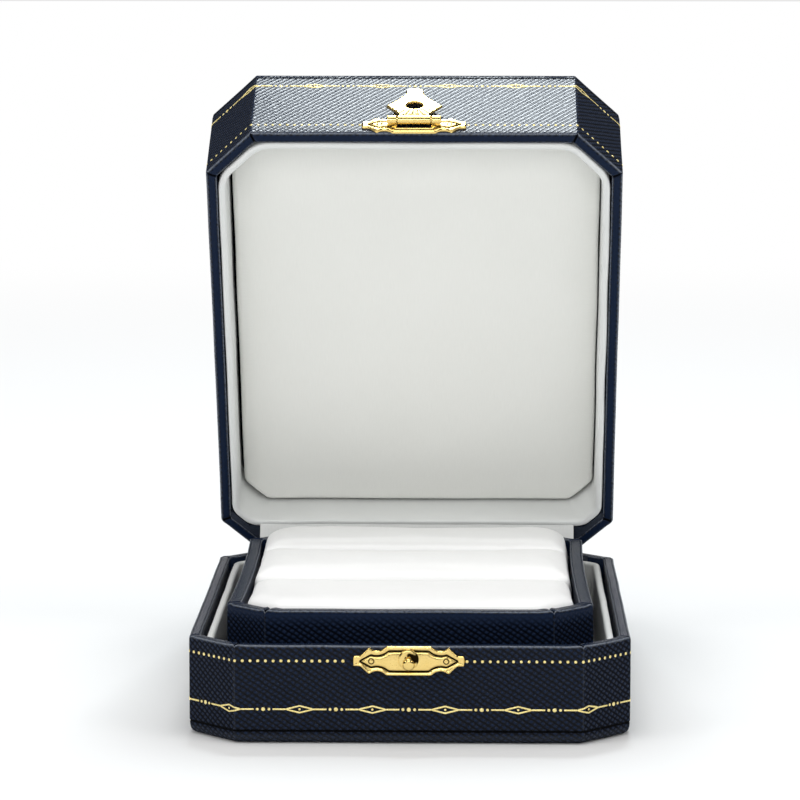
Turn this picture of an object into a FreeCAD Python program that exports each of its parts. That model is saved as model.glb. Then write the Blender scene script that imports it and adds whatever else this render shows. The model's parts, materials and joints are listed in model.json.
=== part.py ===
"""Octagonal ring box: hinged lid, padded tray with two ring slits, and a swing-over hasp.

Units are millimetres.  The origin is the centre of the underside, +Z is up and the
clasp faces -Y.  Every lid piece is drawn with the lid shut and then swung open.
"""
import FreeCAD, Part
import Sketcher
import math
import os
from collections import namedtuple

doc = FreeCAD.newDocument("RingBox")

# --------------------------------------------------------------------------
# Driving sizes
# --------------------------------------------------------------------------
SIZES = [
    # outside of the box
    ("box_width", 80.0), ("box_depth", 100.0), ("corner_leg", 8.75),
    ("board_thick", 2.4), ("board_round", 2.0),
    ("base_wall_height", 15.6), ("lid_wall_height", 21.6), ("wall_thick", 2.1),
    ("rim_gap", 0.1),
    # linings, floor and tray
    ("base_lining_gap", 0.8), ("lid_lining_gap", 0.2), ("lining_thick", 1.4),
    ("lining_edge", 0.5), ("lining_drop", 0.8), ("lining_rear_leg", 3.5),
    ("floor_thick", 1.0), ("trough_width", 2.3), ("rear_trough", 1.4),
    ("tray_rise", 5.0), ("tray_wall_thick", 2.5), ("tray_leg", 7.3), ("tray_floor_thick", 1.2),
    # cushion
    ("cushion_gap", 0.25), ("slit_width", 0.4), ("slit_offset", 14.0),
    ("front_roll_rise", 6.2), ("middle_roll_rise", 7.2), ("rear_roll_rise", 7.6),
    ("roll_edge", 2.0),
    # lid inside
    ("lid_lining_depth", 14.0), ("lid_pad_depth", 9.0), ("pad_gap", 0.25), ("pad_leg", 4.7),
    ("pad_board_thick", 1.2), ("pad_edge", 0.6), ("rear_lining_slope", 0.17),
    # rear hinge
    ("base_rail_depth", 4.5), ("lid_rail_depth", 5.4),
    ("open_angle", 63.4), ("stop_angle", 1.7), ("hinge_inset", 1.4), ("hinge_length", 44.0),
    ("knuckle_radius", 0.8), ("hinge_pin_radius", 0.4), ("running_gap", 0.03),
    ("knuckle_gap", 0.2), ("leaf_thick", 0.5), ("leaf_depth", 4.0), ("hinge_clear", 0.3),
    ("leaf_recess", 0.05), ("leaf_setback", 0.15), ("tab_overlap", 0.1),
    ("hinge_tack_head", 0.9), ("hinge_tack_shank", 0.5),
    ("hinge_tack_length", 4.0), ("hinge_tack_spread", 32.0),
    ("spring_width", 7.0), ("spring_thick", 0.25), ("spring_length", 4.6),
    ("cloth_width", 64.0), ("cloth_thick", 0.4), ("cloth_gap", 0.3),
    # catch and hasp
    ("plate_length", 20.0), ("plate_height", 5.4), ("plate_thick", 0.5), ("plate_tab_height", 2.0),
    ("plate_tab_length", 1.3), ("shoulder_spread", 14.2), ("shoulder_height", 5.1),
    ("waist_spread", 11.2), ("waist_height", 3.8), ("plate_flat_length", 8.2), ("catch_drop", 2.75),
    ("tack_spread", 13.4), ("tack_head", 0.5), ("tack_head_thick", 0.25), ("tack_shank", 0.3),
    ("tack_length", 1.9), ("tack_clear", 0.03),
    ("collar_radius", 1.9), ("collar_thick", 0.35), ("knob_radius", 1.2), ("knob_reach", 2.6),
    ("knob_tail_radius", 0.6),
    ("hasp_rise", 2.65), ("hasp_axis_out", 1.4), ("hasp_knuckle_radius", 0.95),
    ("hasp_pin_radius", 0.4), ("hasp_barrel_length", 6.4), ("hasp_knuckle_length", 1.8),
    ("hasp_knuckle_gap", 0.12), ("hasp_window_clear", 0.25),
    ("tongue_length", 12.4), ("tongue_width", 10.3), ("tongue_thick", 0.5), ("tongue_offset", 0.15),
    ("tongue_root_width", 6.1), ("tongue_root_height", 1.9), ("tongue_hollow", 0.35),
    ("tongue_neck_width", 3.2), ("tongue_neck_start", 10.2), ("tongue_tip_round", 0.8),
    ("tongue_hole_radius", 1.65),
]

sizes = doc.addObject("Spreadsheet::Sheet", "Sizes")
for row, (alias, value) in enumerate(SIZES, start=1):
    sizes.set("A%d" % row, alias)
    sizes.set("B%d" % row, str(value))
    sizes.setAlias("B%d" % row, alias)
doc.recompute()


def measure(expression):
    """Value of an expression over the sheet, in millimetres or degrees."""
    value = sizes.evalExpression(expression)
    return float(getattr(value, "Value", value))


# Shared places, all worked out from the sheet
BASE_RIM = "(Sizes.board_thick + Sizes.base_wall_height)"
LID_RIM = "(%s + Sizes.rim_gap)" % BASE_RIM
LID_BOARD_UNDERSIDE = "(%s + Sizes.lid_wall_height)" % LID_RIM
FLOOR_TOP = "(Sizes.board_thick + Sizes.floor_thick)"
FRONT_FACE = "(-Sizes.box_depth / 2)"
HINGE_Y = "(Sizes.box_depth / 2 - Sizes.hinge_inset)"
HINGE_Z = "(%s + Sizes.rim_gap / 2)" % BASE_RIM
HASP_Y = "(%s - Sizes.hasp_axis_out)" % FRONT_FACE
HASP_Z = "(%s + Sizes.hasp_rise)" % LID_RIM
CATCH_Z = "(%s - Sizes.catch_drop)" % BASE_RIM
HOLE_DROP = "(Sizes.hasp_rise + Sizes.catch_drop + Sizes.rim_gap)"
LEG_PER_INSET = 2 - math.sqrt(2)
TOOL_MARGIN = 1.0

subparts = []


def keep(piece, label, placement=None):
    """List a finished sub-part under its own label, swung into place where it needs it."""
    piece.Label = label
    if placement is not None:
        piece.Placement = placement
    subparts.append(piece)
    return piece


# --------------------------------------------------------------------------
# Octagon outlines
# --------------------------------------------------------------------------
Outline = namedtuple("Outline", "half_width front rear front_leg rear_leg")


def inset(outline, gap, rear=None, front_leg=None, rear_leg=None):
    """An outline pulled in by gap on every side, with any named side set by itself."""
    def shorter(leg):
        return "(%s - (%s) * %.6f)" % (leg, gap, LEG_PER_INSET)
    return Outline(
        "(%s - (%s))" % (outline.half_width, gap),
        "(%s - (%s))" % (outline.front, gap),
        rear or "(%s - (%s))" % (outline.rear, gap),
        front_leg or shorter(outline.front_leg),
        rear_leg or shorter(outline.rear_leg))


OUTSIDE = Outline("(Sizes.box_width / 2)", "(Sizes.box_depth / 2)", "(Sizes.box_depth / 2)",
                  "Sizes.corner_leg", "Sizes.corner_leg")
WALL_INSIDE = inset(OUTSIDE, "Sizes.wall_thick")
BASE_LINING_OUT = inset(WALL_INSIDE, "Sizes.base_lining_gap", rear_leg="Sizes.lining_rear_leg",
                        rear="(%s - Sizes.base_rail_depth)" % WALL_INSIDE.rear)
BASE_LINING_IN = inset(BASE_LINING_OUT, "Sizes.lining_thick")
TRAY_OUT = inset(BASE_LINING_IN, "Sizes.trough_width", front_leg="Sizes.tray_leg",
                 rear_leg="Sizes.tray_leg", rear="(%s - Sizes.rear_trough)" % BASE_LINING_IN.rear)
TRAY_IN = inset(TRAY_OUT, "Sizes.tray_wall_thick")
CUSHION = inset(TRAY_IN, "Sizes.cushion_gap")


def lid_lining_outline(depth, thickness):
    """Lid lining at a depth behind the rim: only its rear panel leans back as it goes deeper."""
    lean = "(%s) * Sizes.rear_lining_slope" % depth
    rear = "(%s - Sizes.lid_rail_depth + %s)" % (WALL_INSIDE.rear, lean)
    outer = inset(WALL_INSIDE, "Sizes.lid_lining_gap", rear=rear,
                  rear_leg="(Sizes.lining_rear_leg + %s)" % lean)
    return inset(outer, thickness)


PAD_SPACE = lid_lining_outline("Sizes.lid_pad_depth", "Sizes.lining_thick")
LID_PAD = inset(PAD_SPACE, "Sizes.pad_gap", rear_leg="Sizes.pad_leg")


def origin_plane(body, role):
    return next(item for item in body.Origin.OriginFeatures if item.Role == role)


def new_sketch(body, role, height="0"):
    sketch = body.newObject("Sketcher::SketchObject", body.Name + "_sketch")
    sketch.AttachmentSupport = (origin_plane(body, role), [""])
    sketch.MapMode = "FlatFace"
    sketch.setExpression("AttachmentOffset.Base.z", height)
    return sketch


def pin_point(sketch, line, direction, expression):
    """Hold the start of a line at a signed distance from the sketch's origin."""
    kind = "DistanceX" if direction == "x" else "DistanceY"
    number = sketch.addConstraint(Sketcher.Constraint(kind, -1, 1, line, 1, measure(expression)))
    sketch.setExpression("Constraints[%d]" % number, expression)


def draw_loop(sketch, points):
    """A closed run of lines through (x, y) expressions, each corner held by the sheet."""
    first = sketch.GeometryCount
    places = [FreeCAD.Vector(measure(x), measure(y), 0) for x, y in points]
    count = len(points)
    for index in range(count):
        sketch.addGeometry(Part.LineSegment(places[index], places[(index + 1) % count]), False)
    for index in range(count):
        sketch.addConstraint(Sketcher.Constraint("Coincident", first + index, 2,
                                                 first + (index + 1) % count, 1))
    for index, (x, y) in enumerate(points):
        pin_point(sketch, first + index, "x", x)
        pin_point(sketch, first + index, "y", y)


def octagon_points(outline):
    half, front, rear, front_leg, rear_leg = outline
    return [("(%s - %s)" % (half, front_leg), "(-%s)" % front),
            (half, "(%s - %s)" % (front_leg, front)),
            (half, "(%s - %s)" % (rear, rear_leg)),
            ("(%s - %s)" % (half, rear_leg), rear),
            ("(%s - %s)" % (rear_leg, half), rear),
            ("(-%s)" % half, "(%s - %s)" % (rear, rear_leg)),
            ("(-%s)" % half, "(%s - %s)" % (front_leg, front)),
            ("(%s - %s)" % (front_leg, half), "(-%s)" % front)]


def new_body(name):
    return doc.addObject("PartDesign::Body", name + "_body")


def pad(body, sketch, length):
    feature = body.newObject("PartDesign::Pad", body.Name + "_pad")
    feature.Profile = sketch
    feature.setExpression("Length", length)
    doc.recompute()
    return feature


def prism(name, outlines, bottom, height):
    """Upright body over one octagon, or between an outer and an inner one."""
    body = new_body(name)
    sketch = new_sketch(body, "XY_Plane", bottom)
    for outline in outlines:
        draw_loop(sketch, octagon_points(outline))
    pad(body, sketch, height)
    return body


def edges_at(feature, height):
    """Names of a feature's edges that lie level at a height."""
    names = []
    for number, edge in enumerate(feature.Shape.Edges, start=1):
        box = edge.BoundBox
        if box.ZLength < 1e-6 and abs(box.ZMin - height) < 1e-4:
            names.append("Edge%d" % number)
    return names


def round_edges(body, edges, radius):
    """Round the given edges of the body's tip."""
    shaped_so_far = body.Tip
    feature = body.newObject("PartDesign::Fillet", body.Name + "_round")
    feature.Base = (shaped_so_far, edges)
    feature.setExpression("Radius", radius)
    doc.recompute()
    return feature


def carve_box(body, x, y, z, width, depth, height):
    """Cut a box out of a body; x, y, z are its lowest corner."""
    before = body.Shape.Volume
    feature = body.newObject("PartDesign::SubtractiveBox", body.Name + "_notch")
    feature.AttachmentSupport = (origin_plane(body, "XY_Plane"), [""])
    feature.MapMode = "FlatFace"
    for path, expression in (("AttachmentOffset.Base.x", x), ("AttachmentOffset.Base.y", y),
                             ("AttachmentOffset.Base.z", z), ("Length", width),
                             ("Width", depth), ("Height", height)):
        feature.setExpression(path, expression)
    doc.recompute()
    assert body.Shape.Volume < before, "notch in %s cuts nothing" % body.Name


def bore(body, axis, x, y, z, radius, length):
    """Cut a round hole out of a body, from (x, y, z) along +Y or +Z."""
    before = body.Shape.Volume
    feature = body.newObject("PartDesign::SubtractiveCylinder", body.Name + "_hole")
    feature.AttachmentSupport = (origin_plane(body, "XY_Plane"), [""])
    feature.MapMode = "FlatFace"
    if axis == "y":
        feature.AttachmentOffset = FreeCAD.Placement(
            FreeCAD.Vector(), FreeCAD.Rotation(FreeCAD.Vector(1, 0, 0), -90))
    for path, expression in (("AttachmentOffset.Base.x", x), ("AttachmentOffset.Base.y", y),
                             ("AttachmentOffset.Base.z", z), ("Radius", radius),
                             ("Height", length)):
        feature.setExpression(path, expression)
    doc.recompute()
    assert body.Shape.Volume < before, "hole in %s cuts nothing" % body.Name


# --------------------------------------------------------------------------
# Part primitives bound to the sheet
# --------------------------------------------------------------------------
AXIS_TURN = {"x": FreeCAD.Rotation(FreeCAD.Vector(0, 1, 0), 90),
             "y": FreeCAD.Rotation(FreeCAD.Vector(1, 0, 0), -90),
             "z": FreeCAD.Rotation()}


def place(piece, x, y, z):
    for direction, expression in (("x", x), ("y", y), ("z", z)):
        piece.setExpression("Placement.Base." + direction, expression)


def block(name, x, y, z, width, depth, height):
    piece = doc.addObject("Part::Box", name)
    for path, expression in (("Length", width), ("Width", depth), ("Height", height)):
        piece.setExpression(path, expression)
    place(piece, x, y, z)
    return piece


def rod(name, axis, x, y, z, radius, length):
    piece = doc.addObject("Part::Cylinder", name)
    piece.Placement = FreeCAD.Placement(FreeCAD.Vector(), AXIS_TURN[axis])
    piece.setExpression("Radius", radius)
    piece.setExpression("Height", length)
    place(piece, x, y, z)
    return piece


def join(name, pieces):
    fused = doc.addObject("Part::MultiFuse", name)
    fused.Shapes = pieces
    return fused


def subtract(name, solid, tools):
    result = doc.addObject("Part::Cut", name)
    result.Base = solid
    result.Tool = tools[0] if len(tools) == 1 else join(name + "_tools", tools)
    return result


def group(name, pieces):
    together = doc.addObject("Part::Compound", name)
    together.Links = pieces
    return together


def swing(y, z, angle):
    """Turn about an axis along X through (y, z); positive closes the lid and drops the hasp."""
    return FreeCAD.Placement(FreeCAD.Vector(), FreeCAD.Rotation(FreeCAD.Vector(1, 0, 0), angle),
                             FreeCAD.Vector(0, y, z))


LID_OPEN = swing(measure(HINGE_Y), measure(HINGE_Z), -measure("Sizes.open_angle"))

# --------------------------------------------------------------------------
# Hinge line, shared by the walls, the rails and the leaves
# --------------------------------------------------------------------------
NOTCH_LENGTH = "(Sizes.hinge_length + 2 * Sizes.hinge_clear)"
NOTCH_DEPTH = "(Sizes.knuckle_radius + Sizes.hinge_clear)"
LEAF_SINK = "(Sizes.leaf_thick + Sizes.leaf_recess)"
LEAF_REAR = "(%s - Sizes.knuckle_radius - Sizes.leaf_setback)" % HINGE_Y
LEAF_FRONT = "(%s - Sizes.leaf_depth)" % LEAF_REAR
TACK_Y = "(%s + Sizes.leaf_depth / 2)" % LEAF_FRONT
TACK_XS = ["(Sizes.hinge_tack_spread * %s)" % share
           for share in ("(-1/2)", "(-1/6)", "(1/6)", "(1/2)")]
FRONT_TACK_XS = ["(-Sizes.tack_spread / 2)", "(Sizes.tack_spread / 2)"]
TACK_HOLE = "(Sizes.tack_shank + Sizes.tack_clear)"
HINGE_TACK_HOLE = "(Sizes.hinge_tack_shank + Sizes.tack_clear)"
PLATE_FRONT = "(%s - Sizes.plate_thick)" % FRONT_FACE
SPRING_LOW = "(%s - Sizes.knuckle_radius - Sizes.running_gap - Sizes.spring_thick)" % HINGE_Z


def rear_bevel(body, rim, sign):
    """Plane the rear rim behind the hinge axis so that the lid stops at its open angle."""
    before = body.Shape.Volume
    sketch = new_sketch(body, "YZ_Plane")
    half_angle = "((Sizes.open_angle + Sizes.stop_angle) / 2)"
    reach = "(2 * Sizes.hinge_inset)"
    draw_loop(sketch, [
        (HINGE_Y, rim),
        ("(%s + %s)" % (HINGE_Y, reach), rim),
        ("(%s + %s)" % (HINGE_Y, reach), "(%s %s %s * tan(%s))" % (rim, sign, reach, half_angle))])
    feature = body.newObject("PartDesign::Pocket", body.Name + "_bevel")
    feature.Profile = sketch
    feature.Midplane = True
    feature.setExpression("Length", "2 * Sizes.box_width")
    doc.recompute()
    assert body.Shape.Volume < before, "bevel in %s cuts nothing" % body.Name


def front_holes(body, z, tail):
    """Holes through a front wall for the two plate tacks and, on the base, the knob's tail."""
    for x in FRONT_TACK_XS:
        bore(body, "y", x, FRONT_FACE, z, TACK_HOLE, "Sizes.wall_thick")
    if tail:
        bore(body, "y", "0", FRONT_FACE, z, "(Sizes.knob_tail_radius + Sizes.tack_clear)",
             "Sizes.wall_thick")


# --------------------------------------------------------------------------
# Base
# --------------------------------------------------------------------------
def make_board(name, bottom, outer_height):
    """Covered board with a rounded edge round its outer face."""
    body = prism(name, [OUTSIDE], bottom, "Sizes.board_thick")
    round_edges(body, edges_at(body.Tip, measure(outer_height)), "Sizes.board_round")
    return body


def make_base_wall():
    body = prism("base_wall", [OUTSIDE, WALL_INSIDE], "Sizes.board_thick", "Sizes.base_wall_height")
    rear_bevel(body, BASE_RIM, "-")
    carve_box(body, "(-%s / 2)" % NOTCH_LENGTH, WALL_INSIDE.rear, "(%s - %s)" % (BASE_RIM, NOTCH_DEPTH),
              NOTCH_LENGTH, "2 * Sizes.wall_thick", "2 * " + NOTCH_DEPTH)
    carve_box(body, "(-Sizes.spring_width / 2 - Sizes.hinge_clear)", WALL_INSIDE.rear,
              "(%s - Sizes.hinge_clear)" % SPRING_LOW,
              "(Sizes.spring_width + 2 * Sizes.hinge_clear)", "2 * Sizes.wall_thick",
              "Sizes.knuckle_radius")
    front_holes(body, CATCH_Z, tail=True)
    keep(body, "base_wall")


def make_base_lining():
    height = "(%s - Sizes.lining_drop - %s)" % (BASE_RIM, FLOOR_TOP)
    body = prism("base_lining", [BASE_LINING_OUT, BASE_LINING_IN], FLOOR_TOP, height)
    rim = measure("%s - Sizes.lining_drop" % BASE_RIM)
    round_edges(body, edges_at(body.Tip, rim), "Sizes.lining_edge")
    keep(body, "base_lining")


def make_base_rail():
    """Covered block that fills the rear of the base and carries the hinge leaf."""
    body = prism("base_hinge_rail", [WALL_INSIDE], "Sizes.board_thick", "Sizes.base_wall_height")
    sketch = new_sketch(body, "XY_Plane", "Sizes.board_thick")
    front = BASE_LINING_OUT.rear
    half = "(Sizes.box_width)"
    far = "(Sizes.box_depth)"
    draw_loop(sketch, [(half, front), (half, "(-%s)" % far), ("(-%s)" % half, "(-%s)" % far),
                       ("(-%s)" % half, front)])
    clear_in_front = body.newObject("PartDesign::Pocket", "base_hinge_rail_front")
    clear_in_front.Profile = sketch
    clear_in_front.Reversed = True
    clear_in_front.setExpression("Length", "Sizes.base_wall_height")
    doc.recompute()
    leaf_seat(body, BASE_RIM, "-")
    carve_box(body, "(-Sizes.spring_width / 2 - Sizes.running_gap)",
              "(%s - Sizes.spring_length - Sizes.running_gap)" % HINGE_Y, SPRING_LOW,
              "(Sizes.spring_width + 2 * Sizes.running_gap)", "2 * Sizes.spring_length",
              "Sizes.knuckle_radius")
    keep(body, "base_hinge_rail")


def leaf_seat(body, rim, sign):
    """Recess for a hinge leaf in a rail's rim face, with its tack holes."""
    low = "(%s - %s)" % (rim, LEAF_SINK) if sign == "-" else rim
    carve_box(body, "(-%s / 2)" % NOTCH_LENGTH, "(%s - Sizes.running_gap)" % LEAF_FRONT, low,
              NOTCH_LENGTH, "Sizes.leaf_depth * 2", LEAF_SINK)
    if sign == "-":
        start = "(%s - Sizes.hinge_tack_length)" % rim
    else:
        start = rim
    for x in TACK_XS:
        bore(body, "z", x, TACK_Y, start, HINGE_TACK_HOLE, "Sizes.hinge_tack_length")


def make_tray():
    height = "(%s + Sizes.tray_rise - %s)" % (BASE_RIM, FLOOR_TOP)
    wall = prism("tray_wall", [TRAY_OUT, TRAY_IN], FLOOR_TOP, height)
    keep(wall, "tray_wall")
    keep(prism("tray_floor", [TRAY_IN], FLOOR_TOP, "Sizes.tray_floor_thick"), "tray_floor")


ROLL_BOTTOM = "(%s + Sizes.tray_floor_thick)" % FLOOR_TOP


def make_roll(name, rise, front=None, rear=None):
    """One roll of the cushion: the tray's outline, cut off at the slits in front and behind."""
    height = "(%s + %s - %s)" % (BASE_RIM, rise, ROLL_BOTTOM)
    body = prism(name, [CUSHION], ROLL_BOTTOM, height)
    starts = [rear] if rear else []
    if front:
        starts.append("(%s - Sizes.box_depth)" % front)
    for start in starts:
        carve_box(body, "(-Sizes.box_width)", start, "0", "2 * Sizes.box_width", "Sizes.box_depth",
                  "Sizes.box_depth")
    top = measure("%s + %s" % (ROLL_BOTTOM, height))
    round_edges(body, edges_at(body.Tip, top), "Sizes.roll_edge")
    keep(body, name)


def make_cushion():
    near, far = "(Sizes.slit_offset - Sizes.slit_width / 2)", "(Sizes.slit_offset + Sizes.slit_width / 2)"
    make_roll("cushion_front_roll", "Sizes.front_roll_rise", rear="(-%s)" % far)
    make_roll("cushion_middle_roll", "Sizes.middle_roll_rise", front="(-%s)" % near, rear=near)
    make_roll("cushion_rear_roll", "Sizes.rear_roll_rise", front=far)


# --------------------------------------------------------------------------
# Lid, drawn shut
# --------------------------------------------------------------------------
def make_lid_wall():
    body = prism("lid_wall", [OUTSIDE, WALL_INSIDE], LID_RIM, "Sizes.lid_wall_height")
    rear_bevel(body, LID_RIM, "+")
    carve_box(body, "(-%s / 2)" % NOTCH_LENGTH, WALL_INSIDE.rear, "(%s - %s)" % (LID_RIM, NOTCH_DEPTH),
              NOTCH_LENGTH, "2 * Sizes.wall_thick", "2 * " + NOTCH_DEPTH)
    front_holes(body, HASP_Z, tail=False)
    keep(body, "lid_wall", LID_OPEN)


def lid_loft(body, kind, thickness):
    """Leaning octagon between the lid's rim and the lining's full depth."""
    profiles = []
    for depth in ("0", "Sizes.lid_lining_depth"):
        sketch = new_sketch(body, "XY_Plane", "(%s + %s)" % (LID_RIM, depth))
        draw_loop(sketch, octagon_points(lid_lining_outline(depth, thickness)))
        profiles.append(sketch)
    feature = body.newObject("PartDesign::%sLoft" % kind, "%s_%s" % (body.Name, kind.lower()))
    feature.Profile = profiles[0]
    feature.Sections = [profiles[1]]
    feature.Ruled = True
    doc.recompute()
    return feature


def make_lid_lining():
    body = new_body("lid_lining")
    lid_loft(body, "Additive", "0")
    lid_loft(body, "Subtractive", "Sizes.lining_thick")
    round_edges(body, edges_at(body.Tip, measure(LID_RIM)), "Sizes.lining_edge")
    keep(body, "lid_lining", LID_OPEN)


def make_lid_rail():
    """Covered block behind the leaning lining, carrying the lid's hinge leaf."""
    body = prism("lid_hinge_rail", [WALL_INSIDE], LID_RIM, "Sizes.lid_lining_depth")
    lid_loft(body, "Subtractive", "0")
    sketch = new_sketch(body, "XY_Plane", LID_RIM)
    front = "(%s - Sizes.lining_rear_leg)" % lid_lining_outline("0", "0").rear
    half = "(Sizes.box_width)"
    far = "(Sizes.box_depth)"
    draw_loop(sketch, [(half, front), (half, "(-%s)" % far), ("(-%s)" % half, "(-%s)" % far),
                       ("(-%s)" % half, front)])
    clear_in_front = body.newObject("PartDesign::Pocket", "lid_hinge_rail_front")
    clear_in_front.Profile = sketch
    clear_in_front.Reversed = True
    clear_in_front.setExpression("Length", "Sizes.lid_lining_depth")
    doc.recompute()
    leaf_seat(body, LID_RIM, "+")
    keep(body, "lid_hinge_rail", LID_OPEN)


def make_lid_pad():
    face = "(%s + Sizes.lid_pad_depth)" % LID_RIM
    height = "(%s - Sizes.pad_board_thick - %s)" % (LID_BOARD_UNDERSIDE, face)
    body = prism("lid_pad", [LID_PAD], face, height)
    round_edges(body, edges_at(body.Tip, measure(face)), "Sizes.pad_edge")
    keep(body, "lid_pad", LID_OPEN)
    board = prism("lid_pad_board", [LID_PAD], "(%s - Sizes.pad_board_thick)" % LID_BOARD_UNDERSIDE,
                  "Sizes.pad_board_thick")
    keep(board, "lid_pad_board", LID_OPEN)


# --------------------------------------------------------------------------
# Rear hinge
# --------------------------------------------------------------------------
KNUCKLE_COUNT = 5
KNUCKLE_PITCH = "(Sizes.hinge_length / %d)" % KNUCKLE_COUNT


def make_leaf(name, label, owned, low, placement):
    """Hinge leaf: a flat plate, a tab and barrel at each knuckle it owns, and tack holes."""
    pieces = [block(name + "_plate", "(-Sizes.hinge_length / 2)", LEAF_FRONT, low,
                    "Sizes.hinge_length", "Sizes.leaf_depth", "Sizes.leaf_thick")]
    for index in owned:
        start = "(-Sizes.hinge_length / 2 + %d * %s + Sizes.knuckle_gap / 2)" % (index, KNUCKLE_PITCH)
        length = "(%s - Sizes.knuckle_gap)" % KNUCKLE_PITCH
        pieces.append(block("%s_tab%d" % (name, index), start, "(%s - Sizes.tab_overlap)" % LEAF_REAR,
                            low, length, "(%s - %s + Sizes.tab_overlap)" % (HINGE_Y, LEAF_REAR),
                            "Sizes.leaf_thick"))
        pieces.append(rod("%s_barrel%d" % (name, index), "x", start, HINGE_Y, HINGE_Z,
                          "Sizes.knuckle_radius", length))
    tools = [rod(name + "_bore", "x", "(-Sizes.hinge_length)", HINGE_Y, HINGE_Z,
                 "(Sizes.hinge_pin_radius + Sizes.running_gap)", "2 * Sizes.hinge_length")]
    for number, x in enumerate(TACK_XS):
        tools.append(rod("%s_hole%d" % (name, number), "z", x, TACK_Y, low,
                         "(Sizes.hinge_tack_head + Sizes.tack_clear)", "Sizes.leaf_thick"))
    keep(subtract(name, join(name + "_solid", pieces), tools), label, placement)


def make_hinge_tacks(name, label, low, shank_start, placement):
    tacks = []
    for number, x in enumerate(TACK_XS):
        head = rod("%s_head%d" % (name, number), "z", x, TACK_Y, low, "Sizes.hinge_tack_head",
                   "Sizes.leaf_thick")
        shank = rod("%s_shank%d" % (name, number), "z", x, TACK_Y, shank_start,
                    "Sizes.hinge_tack_shank", "Sizes.hinge_tack_length")
        tacks.append(join("%s_tack%d" % (name, number), [head, shank]))
    keep(group(name, tacks), label, placement)


def make_hinge():
    base_low = "(%s - %s)" % (BASE_RIM, LEAF_SINK)
    lid_low = "(%s + Sizes.leaf_recess)" % LID_RIM
    make_leaf("base_leaf", "hinge_base_leaf", (0, 4), base_low, None)
    make_leaf("lid_leaf", "hinge_lid_leaf", (1, 2, 3), lid_low, LID_OPEN)
    make_hinge_tacks("base_tacks", "hinge_base_tacks", base_low,
                     "(%s - Sizes.hinge_tack_length)" % BASE_RIM, None)
    make_hinge_tacks("lid_tacks", "hinge_lid_tacks", lid_low, LID_RIM, LID_OPEN)
    pin = rod("hinge_pin_rod", "x", "(-Sizes.hinge_length / 2)", HINGE_Y, HINGE_Z,
              "Sizes.hinge_pin_radius", "Sizes.hinge_length")
    keep(group("hinge_pin", [pin]), "hinge_pin")
    strip = block("hinge_spring_strip", "(-Sizes.spring_width / 2)",
                  "(%s - Sizes.spring_length)" % HINGE_Y, SPRING_LOW,
                  "Sizes.spring_width", "(Sizes.spring_length + Sizes.hinge_pin_radius)",
                  "Sizes.spring_thick")
    keep(group("hinge_spring", [strip]), "hinge_spring")


# --------------------------------------------------------------------------
# Catch and hasp
# --------------------------------------------------------------------------
def stamped_outline():
    """Stamped plate outline: square end tabs, pointed shoulders, hollow waists, long flat middle."""
    half_length = measure("Sizes.plate_length / 2")
    half_height = measure("Sizes.plate_height / 2")
    half_tab = measure("Sizes.plate_tab_height / 2")
    half_flat = measure("Sizes.plate_flat_length / 2")
    tab_foot = FreeCAD.Vector(half_length - measure("Sizes.plate_tab_length"), 0, half_tab)
    tab_corner = FreeCAD.Vector(half_length, 0, half_tab)
    shoulder = FreeCAD.Vector(measure("Sizes.shoulder_spread / 2"), 0, measure("Sizes.shoulder_height / 2"))
    waist = FreeCAD.Vector(measure("Sizes.waist_spread / 2"), 0, measure("Sizes.waist_height / 2"))
    flat_end = FreeCAD.Vector(half_flat, 0, half_height)
    quarter = Part.Compound([Part.LineSegment(FreeCAD.Vector(half_length, 0, 0), tab_corner).toShape(),
                             Part.LineSegment(tab_corner, tab_foot).toShape(),
                             Part.LineSegment(tab_foot, shoulder).toShape(),
                             Part.Arc(shoulder, waist, flat_end).toShape(),
                             Part.LineSegment(flat_end, FreeCAD.Vector(0, 0, half_height)).toShape()])
    half = [quarter, quarter.mirror(FreeCAD.Vector(), FreeCAD.Vector(1, 0, 0))]
    whole = half + [piece.mirror(FreeCAD.Vector(), FreeCAD.Vector(0, 0, 1)) for piece in half]
    return Part.Wire(Part.__sortEdges__([edge for piece in whole for edge in piece.Edges]))


def stamped_plate(z):
    """Flat plate lying on the front face, centred at height z."""
    thick = FreeCAD.Vector(0, -measure("Sizes.plate_thick"), 0)
    solid = Part.Face(stamped_outline()).extrude(thick).removeSplitter()
    solid.translate(FreeCAD.Vector(0, measure(FRONT_FACE), z))
    return solid


def cylinder_along(axis, x, y, z, radius, length):
    direction = {"x": FreeCAD.Vector(1, 0, 0), "y": FreeCAD.Vector(0, 1, 0)}[axis]
    return Part.makeCylinder(radius, length, FreeCAD.Vector(x, y, z), direction)


def plate_holes(z):
    reach = measure("Sizes.box_depth / 4")
    start = measure(FRONT_FACE) - reach / 2
    radius = measure(TACK_HOLE)
    return [cylinder_along("y", measure(x), start, z, radius, reach) for x in FRONT_TACK_XS]


def shaped(name, label, shape, placement=None):
    piece = doc.addObject("Part::Feature", name)
    piece.Shape = shape
    keep(piece, label, placement)


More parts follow.
